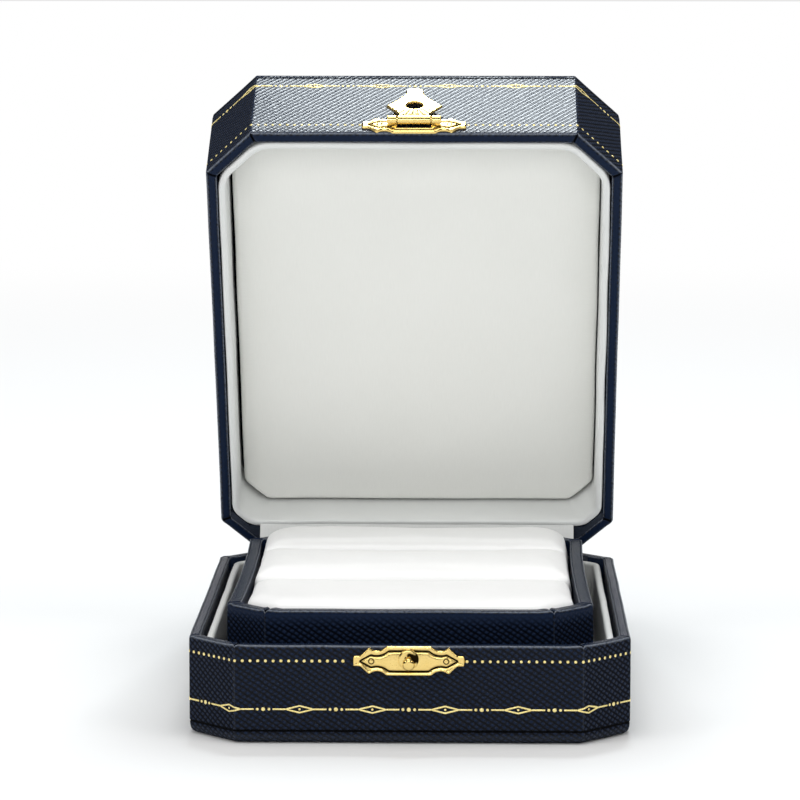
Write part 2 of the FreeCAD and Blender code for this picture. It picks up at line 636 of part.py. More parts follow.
def make_catch():
    z = measure(CATCH_Z)
    plate = stamped_plate(z)
    tail = cylinder_along("y", 0, measure(PLATE_FRONT) - TOOL_MARGIN, z,
                          measure("Sizes.knob_tail_radius + Sizes.tack_clear"),
                          measure("Sizes.plate_thick") + 2 * TOOL_MARGIN)
    shaped("catch_plate", "catch_plate", plate.cut(plate_holes(z) + [tail]))

    knob = new_body("catch_knob")
    sketch = new_sketch(knob, "YZ_Plane")
    tip = "(%s - Sizes.knob_reach)" % FRONT_FACE
    collar_front = "(%s - Sizes.collar_thick)" % PLATE_FRONT
    draw_loop(sketch, [
        (tip, CATCH_Z),
        (tip, "(%s + Sizes.knob_radius)" % CATCH_Z),
        (collar_front, "(%s + Sizes.knob_radius)" % CATCH_Z),
        (collar_front, "(%s + Sizes.collar_radius)" % CATCH_Z),
        (PLATE_FRONT, "(%s + Sizes.collar_radius)" % CATCH_Z),
        (PLATE_FRONT, "(%s + Sizes.knob_tail_radius)" % CATCH_Z),
        ("(%s + Sizes.wall_thick)" % FRONT_FACE, "(%s + Sizes.knob_tail_radius)" % CATCH_Z),
        ("(%s + Sizes.wall_thick)" % FRONT_FACE, CATCH_Z)])
    turned = knob.newObject("PartDesign::Revolution", "catch_knob_turned")
    turned.Profile = sketch
    turned.ReferenceAxis = (sketch, ["Edge%d" % sketch.GeometryCount])
    turned.Angle = 360
    doc.recompute()
    keep(knob, "catch_knob")

    keep(group("catch_tacks", [front_tack("catch_tack%d" % n, x, CATCH_Z)
                               for n, x in enumerate(FRONT_TACK_XS)]), "catch_tacks")


def front_tack(name, x, z):
    """Round-headed tack through a plate into the wall."""
    head_front = "(%s - Sizes.tack_head_thick)" % PLATE_FRONT
    head = rod(name + "_head", "y", x, head_front, z, "Sizes.tack_head", "Sizes.tack_head_thick")
    shank = rod(name + "_shank", "y", x, PLATE_FRONT, z, "Sizes.tack_shank", "Sizes.tack_length")
    return join(name, [head, shank])


HASP_HALF = "(Sizes.hasp_barrel_length / 2)"
HASP_SPAN = "(%s + Sizes.hasp_knuckle_gap + Sizes.hasp_knuckle_length)" % HASP_HALF


def make_hasp():
    y, z = measure(HASP_Y), measure(HASP_Z)
    radius = measure("Sizes.hasp_knuckle_radius")
    pin_radius = measure("Sizes.hasp_pin_radius")
    bore_radius = measure("Sizes.hasp_pin_radius + Sizes.running_gap")
    span = measure(HASP_SPAN)
    half = measure(HASP_HALF)
    window = half + measure("Sizes.hasp_knuckle_gap")
    clear = radius + measure("Sizes.hasp_window_clear")
    knuckle = measure("Sizes.hasp_knuckle_length")

    plate = stamped_plate(z)
    curl = measure("Sizes.hasp_axis_out")
    for start in (-span, span - knuckle):
        barrel = cylinder_along("x", start, y, z, radius, knuckle)
        leg = Part.makeBox(knuckle, curl, measure("Sizes.plate_thick"),
                           FreeCAD.Vector(start, y, z - radius))
        plate = plate.fuse([barrel, leg])
    behind_face = Part.makeBox(2 * span, radius, 4 * radius,
                               FreeCAD.Vector(-span, measure(FRONT_FACE), z - 2 * radius))
    opening = Part.makeBox(2 * window, 4 * radius, 2 * clear,
                           FreeCAD.Vector(-window, y - 2 * radius, z - clear))
    bore_tool = cylinder_along("x", -2 * span, y, z, bore_radius, 4 * span)
    plate = plate.cut([behind_face, opening, bore_tool] + plate_holes(z))
    shaped("hasp_plate", "hasp_plate", plate.removeSplitter(), LID_OPEN)

    pin = cylinder_along("x", -span, y, z, pin_radius, 2 * span)
    shaped("hasp_pin", "hasp_pin", pin, LID_OPEN)
    keep(group("hasp_tacks", [front_tack("hasp_tack%d" % n, x, HASP_Z)
                              for n, x in enumerate(FRONT_TACK_XS)]), "hasp_tacks", LID_OPEN)

    barrel = cylinder_along("x", -half, y, z, radius, 2 * half)
    tongue = barrel.fuse(tongue_blade(y, z))
    hole = cylinder_along("y", 0, y - 2 * radius, z + measure(HOLE_DROP),
                          measure("Sizes.tongue_hole_radius"), 4 * radius)
    tongue = tongue.cut([bore_tool, hole]).removeSplitter()
    shaped("hasp_tongue", "hasp_tongue", tongue, LID_OPEN)


def tongue_blade(y, z):
    """Flat blade of the hasp, folded up: flared shoulders, then a waist up to a narrow finger tip."""
    half_barrel = measure(HASP_HALF)
    half_width = measure("Sizes.tongue_width / 2")
    half_neck = measure("Sizes.tongue_neck_width / 2")
    length = measure("Sizes.tongue_length")
    neck = measure("Sizes.tongue_neck_start")
    shoulder = measure(HOLE_DROP)
    root = FreeCAD.Vector(half_barrel, 0, 0)
    root_top = FreeCAD.Vector(measure("Sizes.tongue_root_width / 2"), 0, measure("Sizes.tongue_root_height"))
    widest = FreeCAD.Vector(half_width, 0, shoulder)
    hollow = FreeCAD.Vector((half_width + half_neck) / 2 - measure("Sizes.tongue_hollow"), 0,
                            (shoulder + neck) / 2)
    neck_start = FreeCAD.Vector(half_neck, 0, neck)
    tip_side = FreeCAD.Vector(half_neck, 0, length - measure("Sizes.tongue_tip_round"))
    half_edges = [Part.LineSegment(root, root_top).toShape(), Part.LineSegment(root_top, widest).toShape(),
                  Part.Arc(widest, hollow, neck_start).toShape(),
                  Part.LineSegment(neck_start, tip_side).toShape()]
    mirrored = [edge.mirror(FreeCAD.Vector(), FreeCAD.Vector(1, 0, 0)) for edge in half_edges]
    tip = Part.Arc(tip_side, FreeCAD.Vector(0, 0, length),
                   FreeCAD.Vector(-half_neck, 0, tip_side.z)).toShape()
    foot = Part.LineSegment(root, FreeCAD.Vector(-half_barrel, 0, 0)).toShape()
    wire = Part.Wire(Part.__sortEdges__(half_edges + mirrored + [tip, foot]))
    blade = Part.Face(wire).extrude(FreeCAD.Vector(0, measure("Sizes.tongue_thick"), 0))
    blade.translate(FreeCAD.Vector(0, y - measure("Sizes.tongue_offset"), z))
    return blade


def make_cover_cloth():
    """White strip glued from the base lining's rear rim to the lid lining's rear rim."""
    thick = measure("Sizes.cloth_thick")
    gap = measure("Sizes.cloth_gap")
    base_end = FreeCAD.Vector(0, measure("%s - Sizes.lining_thick / 2" % BASE_LINING_OUT.rear),
                              measure("%s - Sizes.lining_drop" % BASE_RIM) + gap)
    lid_rear = measure("%s - Sizes.lining_thick / 2" % lid_lining_outline("0", "0").rear)
    lid_end = LID_OPEN.multVec(FreeCAD.Vector(0, lid_rear, measure(LID_RIM) - gap))
    run = (lid_end - base_end).normalize()
    across = FreeCAD.Vector(0, -run.z, run.y) * thick
    half = measure("Sizes.cloth_width / 2")
    corners = [base_end, lid_end, lid_end + across, base_end + across, base_end]
    face = Part.Face(Part.makePolygon([corner + FreeCAD.Vector(-half, 0, 0) for corner in corners]))
    shaped("hinge_cover_cloth", "hinge_cover_cloth", face.extrude(FreeCAD.Vector(2 * half, 0, 0)))


# --------------------------------------------------------------------------
# Build, check and write
# --------------------------------------------------------------------------
def check_and_export():
    for item in doc.Objects:
        assert not {"Invalid", "Error"} & set(item.State), "%s failed" % item.Name
    labels = set()
    for piece in subparts:
        shape = piece.Shape
        assert not shape.isNull() and shape.isValid() and shape.Volume > 0, piece.Label
        assert piece.Label not in labels, piece.Label
        labels.add(piece.Label)
    os.makedirs("parts", exist_ok=True)
    for piece in subparts:
        piece.Shape.exportStep("parts/%s.step" % piece.Label)
        print("%-22s %2d solid(s) %10.2f mm3" % (piece.Label, len(piece.Shape.Solids),
                                                 piece.Shape.Volume))


keep(make_board("base_board", "0", "0"), "base_board")
make_base_wall()
keep(prism("base_floor_liner", [BASE_LINING_OUT], "Sizes.board_thick", "Sizes.floor_thick"),
     "base_floor_liner")
make_base_lining()
make_base_rail()
make_tray()
make_cushion()
make_lid_wall()
keep(make_board("lid_board", LID_BOARD_UNDERSIDE, LID_BOARD_UNDERSIDE + " + Sizes.board_thick"),
     "lid_board", LID_OPEN)
make_lid_lining()
make_lid_rail()
make_lid_pad()
make_hinge()
make_catch()
make_hasp()
make_cover_cloth()
doc.recompute()
check_and_export()
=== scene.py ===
"""Looks for the ring box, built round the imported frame.

Shapes are worked out in millimetres in the frame's own axes: the origin is the middle of the
underside, +Z is up and the clasp faces -Y.  Pieces of the lid and the hasp are drawn with the
lid shut and then swung open.
"""
import bisect
import cmath
import json
import math
import bpy
import numpy as np
from mathutils import Matrix, Vector, noise
from mathutils.geometry import delaunay_2d_cdt


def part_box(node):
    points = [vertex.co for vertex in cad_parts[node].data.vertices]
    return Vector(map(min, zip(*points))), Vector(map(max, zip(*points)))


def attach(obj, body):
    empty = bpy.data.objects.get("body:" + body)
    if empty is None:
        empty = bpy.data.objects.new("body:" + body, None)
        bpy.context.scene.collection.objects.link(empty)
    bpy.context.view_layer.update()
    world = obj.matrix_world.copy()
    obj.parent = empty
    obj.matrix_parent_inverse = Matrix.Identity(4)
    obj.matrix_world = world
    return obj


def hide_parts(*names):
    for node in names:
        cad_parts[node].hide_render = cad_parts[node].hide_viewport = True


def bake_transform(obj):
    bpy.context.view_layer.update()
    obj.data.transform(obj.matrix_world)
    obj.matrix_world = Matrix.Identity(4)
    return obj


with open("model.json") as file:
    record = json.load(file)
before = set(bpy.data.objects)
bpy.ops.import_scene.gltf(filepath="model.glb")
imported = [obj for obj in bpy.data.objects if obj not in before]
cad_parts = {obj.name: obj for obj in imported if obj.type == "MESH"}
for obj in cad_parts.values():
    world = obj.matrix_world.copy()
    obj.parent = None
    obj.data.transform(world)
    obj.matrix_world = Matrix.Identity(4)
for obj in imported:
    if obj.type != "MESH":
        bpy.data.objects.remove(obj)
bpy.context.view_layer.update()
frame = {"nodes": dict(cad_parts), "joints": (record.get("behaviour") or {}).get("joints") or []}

MM = 0.001
NOISE_SEED = 1
noise.seed_set(NOISE_SEED)  # unseeded, noise_vector starts from the clock

# ---- Sizes in millimetres, as the frame has them ----


def box_mm(node):
    """Lowest and highest corner of a CAD node."""
    low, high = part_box(node)
    return low / MM, high / MM


JOINTS = {joint["name"]: joint for joint in frame["joints"]}
HINGE = Vector(JOINTS["lid_hinge"]["pos_m"]) / MM
OPEN_ANGLE = math.radians(JOINTS["lid_hinge"]["range_deg"][1])
LID_OPEN = (Matrix.Translation(HINGE) @ Matrix.Rotation(-OPEN_ANGLE, 4, "X")
            @ Matrix.Translation(-HINGE))
SWING = {"base": Matrix(), "lid": LID_OPEN, "hasp": LID_OPEN}
HASP_AXIS = LID_OPEN.inverted() @ (Vector(JOINTS["hasp_pivot"]["pos_m"]) / MM)

WALL_LOW, WALL_HIGH = box_mm("base_wall")
FRONT = WALL_LOW.y
BASE_RIM = WALL_HIGH.z
BOARD_THICK = WALL_LOW.z
LID_RIM = BASE_RIM + 0.1
LID_BOARD = LID_RIM + 21.6
LID_TOP = LID_BOARD + BOARD_THICK
WALL = 2.1
LEG = 8.75
CATCH_Z = BASE_RIM - 2.75
HASP_Z = HASP_AXIS.z


class Octagon:
    """Rectangle with its four corners cut at 45 degrees, and its corners eased by a radius.

    crowd, from 0 to 1, says how closely the points of a side are drawn to its ends.
    """

    def __init__(self, half, front, rear, front_leg, rear_leg, ease, crowd=0.0):
        self.half, self.front, self.rear, self.crowd = half, front, rear, crowd
        self.front_leg, self.rear_leg, self.ease = front_leg, rear_leg, ease

    def inset(self, gap, least_ease=0.15):
        """The same outline pulled in by gap on every side."""
        shorter = gap * (2 - math.sqrt(2))
        return Octagon(self.half - gap, self.front + gap, self.rear - gap,
                       max(self.front_leg - shorter, 0.05), max(self.rear_leg - shorter, 0.05),
                       max(self.ease - gap, least_ease), self.crowd)

    def corners(self):
        """Corners anticlockwise from the rear left, as seen from above."""
        half, front, rear = self.half, self.front, self.rear
        fore, back = self.front_leg, self.rear_leg
        return [Vector(p) for p in (
            (back - half, rear), (-half, rear - back), (-half, front + fore),
            (fore - half, front), (half - fore, front), (half, front + fore),
            (half, rear - back), (half - back, rear))]

    def ring(self, height, side_steps, ease_steps):
        """Points round the outline at a height, from the middle of the rear side."""
        corners = self.corners()
        reach = self.ease * math.tan(math.radians(22.5))
        turns = []
        for k, corner in enumerate(corners):
            before, after = corners[k - 1] - corner, corners[(k + 1) % 8] - corner
            eased = min(reach, 0.35 * before.length, 0.35 * after.length)
            turns.append(bend(corner + before.normalized() * eased, corner,
                              corner + after.normalized() * eased, ease_steps))
        middle = Vector((0, self.rear))
        points = between(middle, turns[0][0], side_steps, self.crowd)
        for k, turn in enumerate(turns):
            after = turns[k + 1][0] if k < 7 else middle
            points += turn[:-1] + between(turn[-1], after, side_steps, self.crowd)
        return [Vector((p.x, p.y, height)) for p in points]


def between(start, end, steps, crowd=0.0):
    """Points from start up to but not including end, drawn to the two ends by crowd."""
    shares = [step / steps for step in range(steps)]
    return [start.lerp(end, t - crowd * math.sin(2 * math.pi * t) / (2 * math.pi)) for t in shares]


def bend(start, corner, end, steps):
    """Points on the quadratic curve from start to end that a corner draws out."""
    shares = [step / steps for step in range(steps + 1)]
    return [start.lerp(corner, t).lerp(corner.lerp(end, t), t) for t in shares]


OUTSIDE = Octagon(WALL_HIGH.x, FRONT, WALL_HIGH.y, LEG, LEG, 0.7, 0.9)
WALL_INSIDE = OUTSIDE.inset(WALL)

# ---- Mesh building ----
CORNER_HIGHLIGHT = 0.35  # how strongly an upright corner of an octagon gets the painted edge highlight


def add_object(name, data):
    """New object in the scene."""
    obj = bpy.data.objects.new(name, data)
    bpy.context.scene.collection.objects.link(obj)
    return obj


class Skin:
    """Vertices and faces in millimetres, with grain coordinates, polish and marks of painted light: a
    painted highlight on rounded edges above zero, and painted shade, tarnished brass lines and a painted
    dark reflection below zero.
    """

    def __init__(self):
        self.points, self.wear, self.polish, self.faces, self.grain = [], [], [], [], []

    def add_points(self, points, wear=0.0):
        first = len(self.points)
        self.points += points
        self.wear += wear if isinstance(wear, list) else [wear] * len(points)
        return list(range(first, len(self.points)))

    def add_face(self, indices, grain):
        self.faces.append(indices)
        self.grain.append(grain)

    def flat_grain(self, indices):
        return [(self.points[i].x, self.points[i].y) for i in indices]

    def flat_face(self, indices):
        """A face whose grain lies flat in X and Y."""
        self.add_face(indices, self.flat_grain(indices))

    def make(self, name, material, body, nudge=None):
        """Turn the skin into an object, in metres, where its body is at rest."""
        points = [SWING[body] @ (nudge(p) if nudge else p) for p in self.points]
        mesh = bpy.data.meshes.new(name)
        mesh.from_pydata([p * MM for p in points], [], self.faces)
        grain = [value for face in self.grain for pair in face for value in pair]
        mesh.uv_layers.new(name="Grain").data.foreach_set("uv", grain)
        polish = self.polish or [0.0] * len(points)
        for label, values in (("wear", self.wear), ("polish", polish)):
            mesh.attributes.new(label, "FLOAT", "POINT").data.foreach_set("value", values)
        mesh.materials.append(material)
        mesh.shade_smooth()
        mesh.update()
        return add_object(name, mesh)


def around(count):
    """Each index of a closed ring with the next one."""
    return [(k, (k + 1) % count) for k in range(count)]


def lengths(points, closed):
    """Running distance along points, with one more entry for the way back if closed."""
    out = [0.0]
    for a, b in zip(points, points[1:] + (points[:1] if closed else [])):
        out.append(out[-1] + (b - a).length)
    return out


def rounded_section(corners, steps=6):
    """Points (inset, height, edge) along a section given as (inset, height, radius) corners.

    A negative radius marks a corner that lies in a fold, where the covering gets painted shade.
    """
    longest = 2.2
    out = []
    for k, (inset, height, radius) in enumerate(corners):
        here = Vector((inset, height))
        run = [(here, 0.0)]
        if radius:
            before = (Vector(corners[k - 1][:2]) - here).normalized() * abs(radius)
            after = (Vector(corners[(k + 1) % len(corners)][:2]) - here).normalized() * abs(radius)
            curve = bend(here + before, here, here + after, steps)
            sign = math.copysign(1, radius)
            run = [(p, sign * (1 - abs(2 * s / steps - 1))) for s, p in enumerate(curve)]
        if out:
            last = Vector(out[-1][:2])
            gap = (run[0][0] - last).length
            filling = between(last, run[0][0], max(int(gap / longest), 1))[1:]
            out += [(p.x, p.y, 0.0) for p in filling]
        out += [(p.x, p.y, edge) for p, edge in run]
    return out


def wrap(skin, section, outline_at, side_steps=14, ease_steps=6, closed=False):
    """Sweep a section round octagons, and return each ring's points.

    outline_at(inset, height) gives each ring's octagon.
    """
    rings = [outline_at(inset, height).ring(height, side_steps, ease_steps)
             for inset, height, _edge in section]
    across = lengths([Vector((inset, height)) for inset, height, _edge in section], False)
    along = lengths(rings[len(rings) // 3], True)
    along = [value - along[-1] / 2 for value in along]
    count = len(rings[0])
    corner = [0.0] * count
    for number in range(8):
        start = side_steps + number * (ease_steps + side_steps)
        for step in range(ease_steps + 1):
            corner[(start + step) % count] = 1 - abs(2 * step / ease_steps - 1)
    # Rounded edges and upright corners get painted highlight marks above zero; corners with a negative
    # radius get painted shade below zero.
    rows = [skin.add_points(ring, [max(edge, CORNER_HIGHLIGHT * c) if edge >= 0 else edge for c in corner])
            for ring, (_inset, _height, edge) in zip(rings, section)]
    pairs = around(len(rows)) if closed else around(len(rows))[:-1]
    for j, i in pairs:
        top = across[i] if i > j else across[j] + (rings[0][0] - rings[j][0]).length
        for k, m in around(count):
            skin.add_face((rows[j][k], rows[j][m], rows[i][m], rows[i][k]),
                          ((along[k], across[j]), (along[k + 1], across[j]),
                           (along[k + 1], top), (along[k], top)))
    return rows


def insets(outline, least_ease=0.15):
    """The outlines that a section needs round one octagon, whatever the height."""
    return lambda inset, _height: outline.inset(inset, least_ease)


def gather(skin, row, steps, rise=lambda share: 0.0, up=True):
    """Fill a ring with smaller copies of itself; rise(share) lifts each one, 1 being the middle."""
    ring = [skin.points[i] for i in row]
    middle = sum(ring, Vector()) / len(ring)
    for step in range(1, steps + 1):
        share = step / (steps + 1)
        inner = skin.add_points([p.lerp(middle, share) + Vector((0, 0, rise(share))) for p in ring])
        for k, m in around(len(ring)):
            quad = (row[k], row[m], inner[m], inner[k])
            skin.flat_face(quad if up else quad[::-1])
        row = inner
    skin.flat_face(tuple(row if up else row[::-1]))


def wobble(point, amount, size, seed):
    """Small smooth unevenness, the same on every run."""
    at = point / size + Vector((seed, seed * 0.7, seed * 1.3))
    return point + noise.noise_vector(at) * amount


def clamp(value):
    """Value held between 0 and 1."""
    return max(0.0, min(1.0, value))


BLOCK_FACES = ((0, 2, 3, 1), (4, 5, 7, 6), (0, 1, 5, 4), (2, 6, 7, 3), (0, 4, 6, 2), (1, 3, 7, 5))


def add_block(skin, low, high):
    """Plain block between two corners."""
    xs, ys, zs = zip(low, high)
    first = skin.add_points([Vector((x, y, z)) for z in zs for y in ys for x in xs])[0]
    for quad in BLOCK_FACES:
        skin.flat_face(tuple(first + k for k in quad))


def apply_modifiers(obj):
    """Replace an object's mesh by what its modifiers make of it."""
    bpy.context.view_layer.update()
    graph = bpy.context.evaluated_depsgraph_get()
    mesh = bpy.data.meshes.new_from_object(obj.evaluated_get(graph), depsgraph=graph)
    old = obj.data
    obj.modifiers.clear()
    obj.data = mesh
    bpy.data.meshes.remove(old)


def cut_away(obj, low, high, body):
    """Cut a box, given in millimetres with the lid shut, out of an object's mesh."""
    cutter_skin = Skin()
    add_block(cutter_skin, low, high)
    cutter = cutter_skin.make(obj.name + "_cutter", obj.data.materials[0], body)
    change = obj.modifiers.new("cut", "BOOLEAN")
    change.object, change.operation, change.solver = cutter, "DIFFERENCE", "EXACT"
    apply_modifiers(obj)
    bpy.data.objects.remove(cutter)


def dress(obj, body, slot, *nodes, keen=None):
    """Attach a finished piece to its body and hide the CAD nodes it stands for; slot, its finish, is not
    used.

    Edges sharper than keen degrees stay sharp in the smooth shading.
    """
    if keen:
        obj.data.set_sharp_from_angle(angle=math.radians(keen))
    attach(obj, body)
    if nodes:
        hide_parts(*nodes)


# ---- Materials ----


class Nodes:
    """Short ways to add nodes to a shader tree and to link them."""

    def __init__(self, tree):
        self.tree = tree

    def feed(self, socket, value):
        """Link a socket to another, or set it; a colour is given as red, green and blue."""
        if isinstance(value, bpy.types.NodeSocket):
            self.tree.links.new(value, socket)
        else:
            socket.default_value = (*value, 1.0) if socket.type == "RGBA" else value

    def node(self, kind, inputs=(), **settings):
        made = self.tree.nodes.new(kind)
        for label, value in settings.items():
            setattr(made, label, value)
        for key, value in dict(inputs).items():
            self.feed(made.inputs[key], value)
        return made

    def math(self, operation, a, b=0.0, clamp=False):
        return self.node("ShaderNodeMath", {0: a, 1: b}, operation=operation, use_clamp=clamp).outputs[0]

    def times(self, a, b, clamp=False):
        return self.math("MULTIPLY", a, b, clamp)

    def plus(self, a, b, clamp=False):
        return self.math("ADD", a, b, clamp)

    def vector(self, operation, a, b=(0.0, 0.0, 0.0), c=(0.0, 0.0, 0.0), output="Vector"):
        made = self.node("ShaderNodeVectorMath", {0: a, 1: b, 2: c}, operation=operation)
        return made.outputs[output]

    def spread(self, value, low, high, out_low=0.0, out_high=1.0):
        """Smoothly mapped range."""
        ends = {"Value": value, "From Min": low, "From Max": high, "To Min": out_low, "To Max": out_high}
        return self.node("ShaderNodeMapRange", ends, interpolation_type="SMOOTHSTEP").outputs[0]

    def noise(self, vector, scale, detail=2.0, roughness=0.5, output="Fac"):
        inputs = {"Vector": vector, "Scale": scale, "Detail": detail, "Roughness": roughness}
        return self.node("ShaderNodeTexNoise", inputs).outputs[output]

    def cells(self, vector, scale):
        return self.node("ShaderNodeTexVoronoi", {"Vector": vector, "Scale": scale}).outputs["Distance"]

    def mix(self, factor, a, b):
        """Mix of two numbers."""
        return self.node("ShaderNodeMix", {0: factor, 2: a, 3: b}, data_type="FLOAT").outputs[0]

    def blend(self, factor, a, b):
        """Mix of two colours."""
        return self.node("ShaderNodeMix", {0: factor, 6: a, 7: b}, data_type="RGBA").outputs[2]

    def cross(self, factor, a, b):
        """Mix of two shaders."""
        return self.node("ShaderNodeMixShader", {0: factor, 1: a, 2: b}).outputs[0]

    def attribute(self, name):
        return self.node("ShaderNodeAttribute", attribute_name=name).outputs["Fac"]

    def grain(self):
        """Coordinates in millimetres over the covering."""
        return self.node("ShaderNodeUVMap", uv_map="Grain").outputs[0]

    def place(self):
        """Object coordinates in millimetres."""
        at = self.node("ShaderNodeTexCoord").outputs["Object"]
        return self.vector("MULTIPLY", at, (1 / MM,) * 3)


class Finish(Nodes):
    """One node material round a Principled shader."""

    def __init__(self, name, **settings):
        self.material = bpy.data.materials.new(name)
        self.material.use_nodes = True
        super().__init__(self.material.node_tree)
        self.shader = self.tree.nodes["Principled BSDF"]
        for label, value in settings.items():
            self.feed(self.shader.inputs[label.replace("_", " ")], value)

    def surface(self, tone, rough, height, depth_mm, strength):
        """Give the shader its colour, roughness and relief, and return the material."""
        relief = {"Height": height, "Distance": depth_mm * MM, "Strength": strength}
        bump = self.node("ShaderNodeBump", relief)
        for label, value in (("Base Color", tone), ("Roughness", rough), ("Normal", bump.outputs[0])):
            self.feed(self.shader.inputs[label], value)
        return self.material


def make_leatherette(name, falling, rising, specular, grit=0.35, groove_rough=0.62, relief=0.15):
    """Navy covering pressed with two crossed sets of fine grooves.

    falling and rising say how deep each set is, and so how dark the painted shade in its grooves; grit
    says how grainy the ridges are.  The grooves are groove_rough dull where the covering is polished, and
    relief is the depth of the bump.
    """
    finish = Finish(name, Specular_IOR_Level=specular)
    place = finish.grain()
    shake = finish.vector("SUBTRACT", finish.noise(place, 0.7, output="Color"), (0.5, 0.5, 0.5))
    bent = finish.vector("MULTIPLY_ADD", shake, (0.45, 0.45, 0.0), place)
    grooves = 1.0
    for degrees, pitch, depth in ((-33.0, 0.865, falling), (47.0, 0.92, rising)):
        angle = math.radians(degrees)
        across = (-math.sin(angle) / pitch, math.cos(angle) / pitch, 0.0)
        line = finish.vector("DOT_PRODUCT", bent, across, output="Value")
        ridge = finish.spread(finish.math("PINGPONG", line, 0.5), 0.05, 0.38, 1.0 - depth, 1.0)
        grooves = finish.times(grooves, ridge)
    polish = finish.attribute("polish")
    pressed = finish.times(polish, -1.3, clamp=True)
    grooves = finish.mix(pressed, grooves, 0.85)
    height = finish.plus(grooves, finish.times(finish.noise(place, 4.0, 3.0), grit))

    navy = finish.blend(finish.noise(place, 0.12, 3.0), (0.0050, 0.0125, 0.0345), (0.0072, 0.0160, 0.0420))
    # Painted shade: the grooves are coloured near black, the deeper set darker.
    tone = finish.blend(grooves, (0.0003, 0.0008, 0.0030), navy)
    # Painted highlight: a patchy pale line along rounded edges, where the marks are above zero. Painted
    # shade: near black in seams and folds, where the marks are below zero.
    wear = finish.attribute("wear")
    edge = finish.math("POWER", finish.math("MAXIMUM", wear, 0.0), 2.2)
    patchy = finish.spread(finish.noise(place, 1.6, 4.0), 0.15, 0.55)
    edge_highlight = finish.times(finish.times(edge, patchy, clamp=True), 0.8)
    tone = finish.blend(edge_highlight, tone, (0.22, 0.245, 0.29))
    crease_shade = finish.times(wear, -1.6, clamp=True)
    tone = finish.blend(crease_shade, tone, (0.0002, 0.0003, 0.0008))

    matt = finish.spread(height, 0.2, 1.15, 0.90, 0.50)
    glossy = finish.spread(height, 0.3, 1.15, groove_rough, 0.14)
    rough = finish.mix(finish.math("ABSOLUTE", polish), matt, glossy)
    return finish.surface(tone, finish.plus(rough, crease_shade, clamp=True), height, relief, 1.0)


def make_plain_leatherette():
    """The same covering on small hidden blocks, with a pebbled grain in space."""
    finish = Finish("navy_leatherette_plain", Specular_IOR_Level=0.5)
    place = finish.place()
    pebble, fine = finish.cells(place, 2.2), finish.noise(place, 6.0, 3.0)
    tone = finish.blend(pebble, (0.016, 0.024, 0.045), (0.006, 0.010, 0.020))
    dents = finish.plus(pebble, finish.times(fine, 0.3))
    return finish.surface(tone, finish.spread(fine, 0.2, 0.8, 0.4, 0.6),
                          finish.math("SUBTRACT", 1.0, dents), 0.05, 0.8)


def make_white_leatherette(name, tones, blotch, mottle, smooth, pebble, pore, pore_depth):
    """White covering over card or foam, between two tones; smooth is its least roughness.

    blotch, mottle, pebble and pore say how many of each lie in a millimetre.
    """
    finish = Finish(name, Specular_IOR_Level=0.4)
    place = finish.place()
    tone = finish.blend(finish.noise(place, blotch, 3.0), *tones)
    rough = finish.spread(finish.noise(place, mottle, 3.0), 0.3, 0.7, smooth, 0.56)
    pores = finish.times(finish.noise(place, pore, 2.0), pore_depth)
    height = finish.plus(finish.cells(place, pebble), pores)
    return finish.surface(tone, rough, height, 0.02, 0.5)


def make_satin():
    """Off-white satin with a very fine upright weave."""
    finish = Finish("satin_pad", Specular_IOR_Level=0.35, Sheen_Weight=0.15, Sheen_Roughness=0.4)
    place = finish.grain()
    threads = finish.noise(finish.vector("MULTIPLY", place, (6.0, 0.35, 1.0)), 1.0, 3.0)
    tone = finish.blend(finish.noise(place, 0.05, 3.0), (0.84, 0.842, 0.80), (0.89, 0.892, 0.855))
    tone = finish.blend(finish.times(threads, 0.35), tone, (0.72, 0.725, 0.69))
    return finish.surface(tone, finish.spread(threads, 0.3, 0.7, 0.46, 0.6), threads, 0.02, 0.5)


def make_cloth():
    """Thin white woven strip over the hinge."""
    finish = Finish("hinge_cloth", Sheen_Weight=0.2, Sheen_Roughness=0.5, Specular_IOR_Level=0.25)
    threads = {"Vector": finish.grain(), "Scale": 1.1, "Distortion": 0.4}
    waves = [finish.node("ShaderNodeTexWave", threads, bands_direction=way).outputs["Fac"] for way in "XY"]
    weave = finish.times(*waves)
    tone = finish.blend(weave, (0.66, 0.668, 0.655), (0.76, 0.766, 0.75))
    return finish.surface(tone, finish.spread(weave, 0.0, 1.0, 0.85, 0.7), weave, 0.03, 0.7)


def make_card():
    """Grey board inside the lid and under the cushion."""
    finish = Finish("card", Specular_IOR_Level=0.2)
    fibre = finish.noise(finish.place(), 1.4, 5.0, 0.7)
    tone = finish.blend(fibre, (0.30, 0.29, 0.27), (0.42, 0.41, 0.38))
    return finish.surface(tone, finish.spread(fibre, 0.3, 0.7, 0.8, 0.95), fibre, 0.04, 0.5)


def make_metal(name, light, deep, low_rough, high_rough):
    """Polished metal with faint handling marks; where marked it is darkened, tarnished with painted shade
    in pressed lines and given a painted dark reflection on a collar.
    """
    finish = Finish(name, Metallic=1.0)
    place = finish.place()
    # Painted shade and painted dark reflection where the marks fall below zero, with some tarnish.
    tarnish_and_shade = finish.spread(finish.attribute("wear"), -0.15, -0.60)
    bright = finish.blend(finish.noise(place, 0.6, 3.0), light, deep)
    marks = finish.noise(place, 3.0, 4.0, 0.6)
    worn = finish.spread(marks, 0.3, 0.7, low_rough, high_rough)
    rough = finish.plus(worn, finish.times(tarnish_and_shade, 0.4), clamp=True)
    return finish.surface(finish.blend(tarnish_and_shade, bright, (0.018, 0.010, 0.003)), rough, marks, 0.02, 0.35)


def make_foil():
    """Gold foil pressed into the covering, a little broken by its grain."""
    finish = Finish("gold_foil", Metallic=0.35)
    grit = finish.noise(finish.place(), 4.5, 3.0)
    tone = finish.blend(finish.spread(grit, 0.35, 0.6), (0.88, 0.68, 0.20), (1.0, 0.86, 0.40))
    return finish.surface(tone, finish.spread(grit, 0.3, 0.7, 0.42, 0.24), grit, 0.03, 0.5)
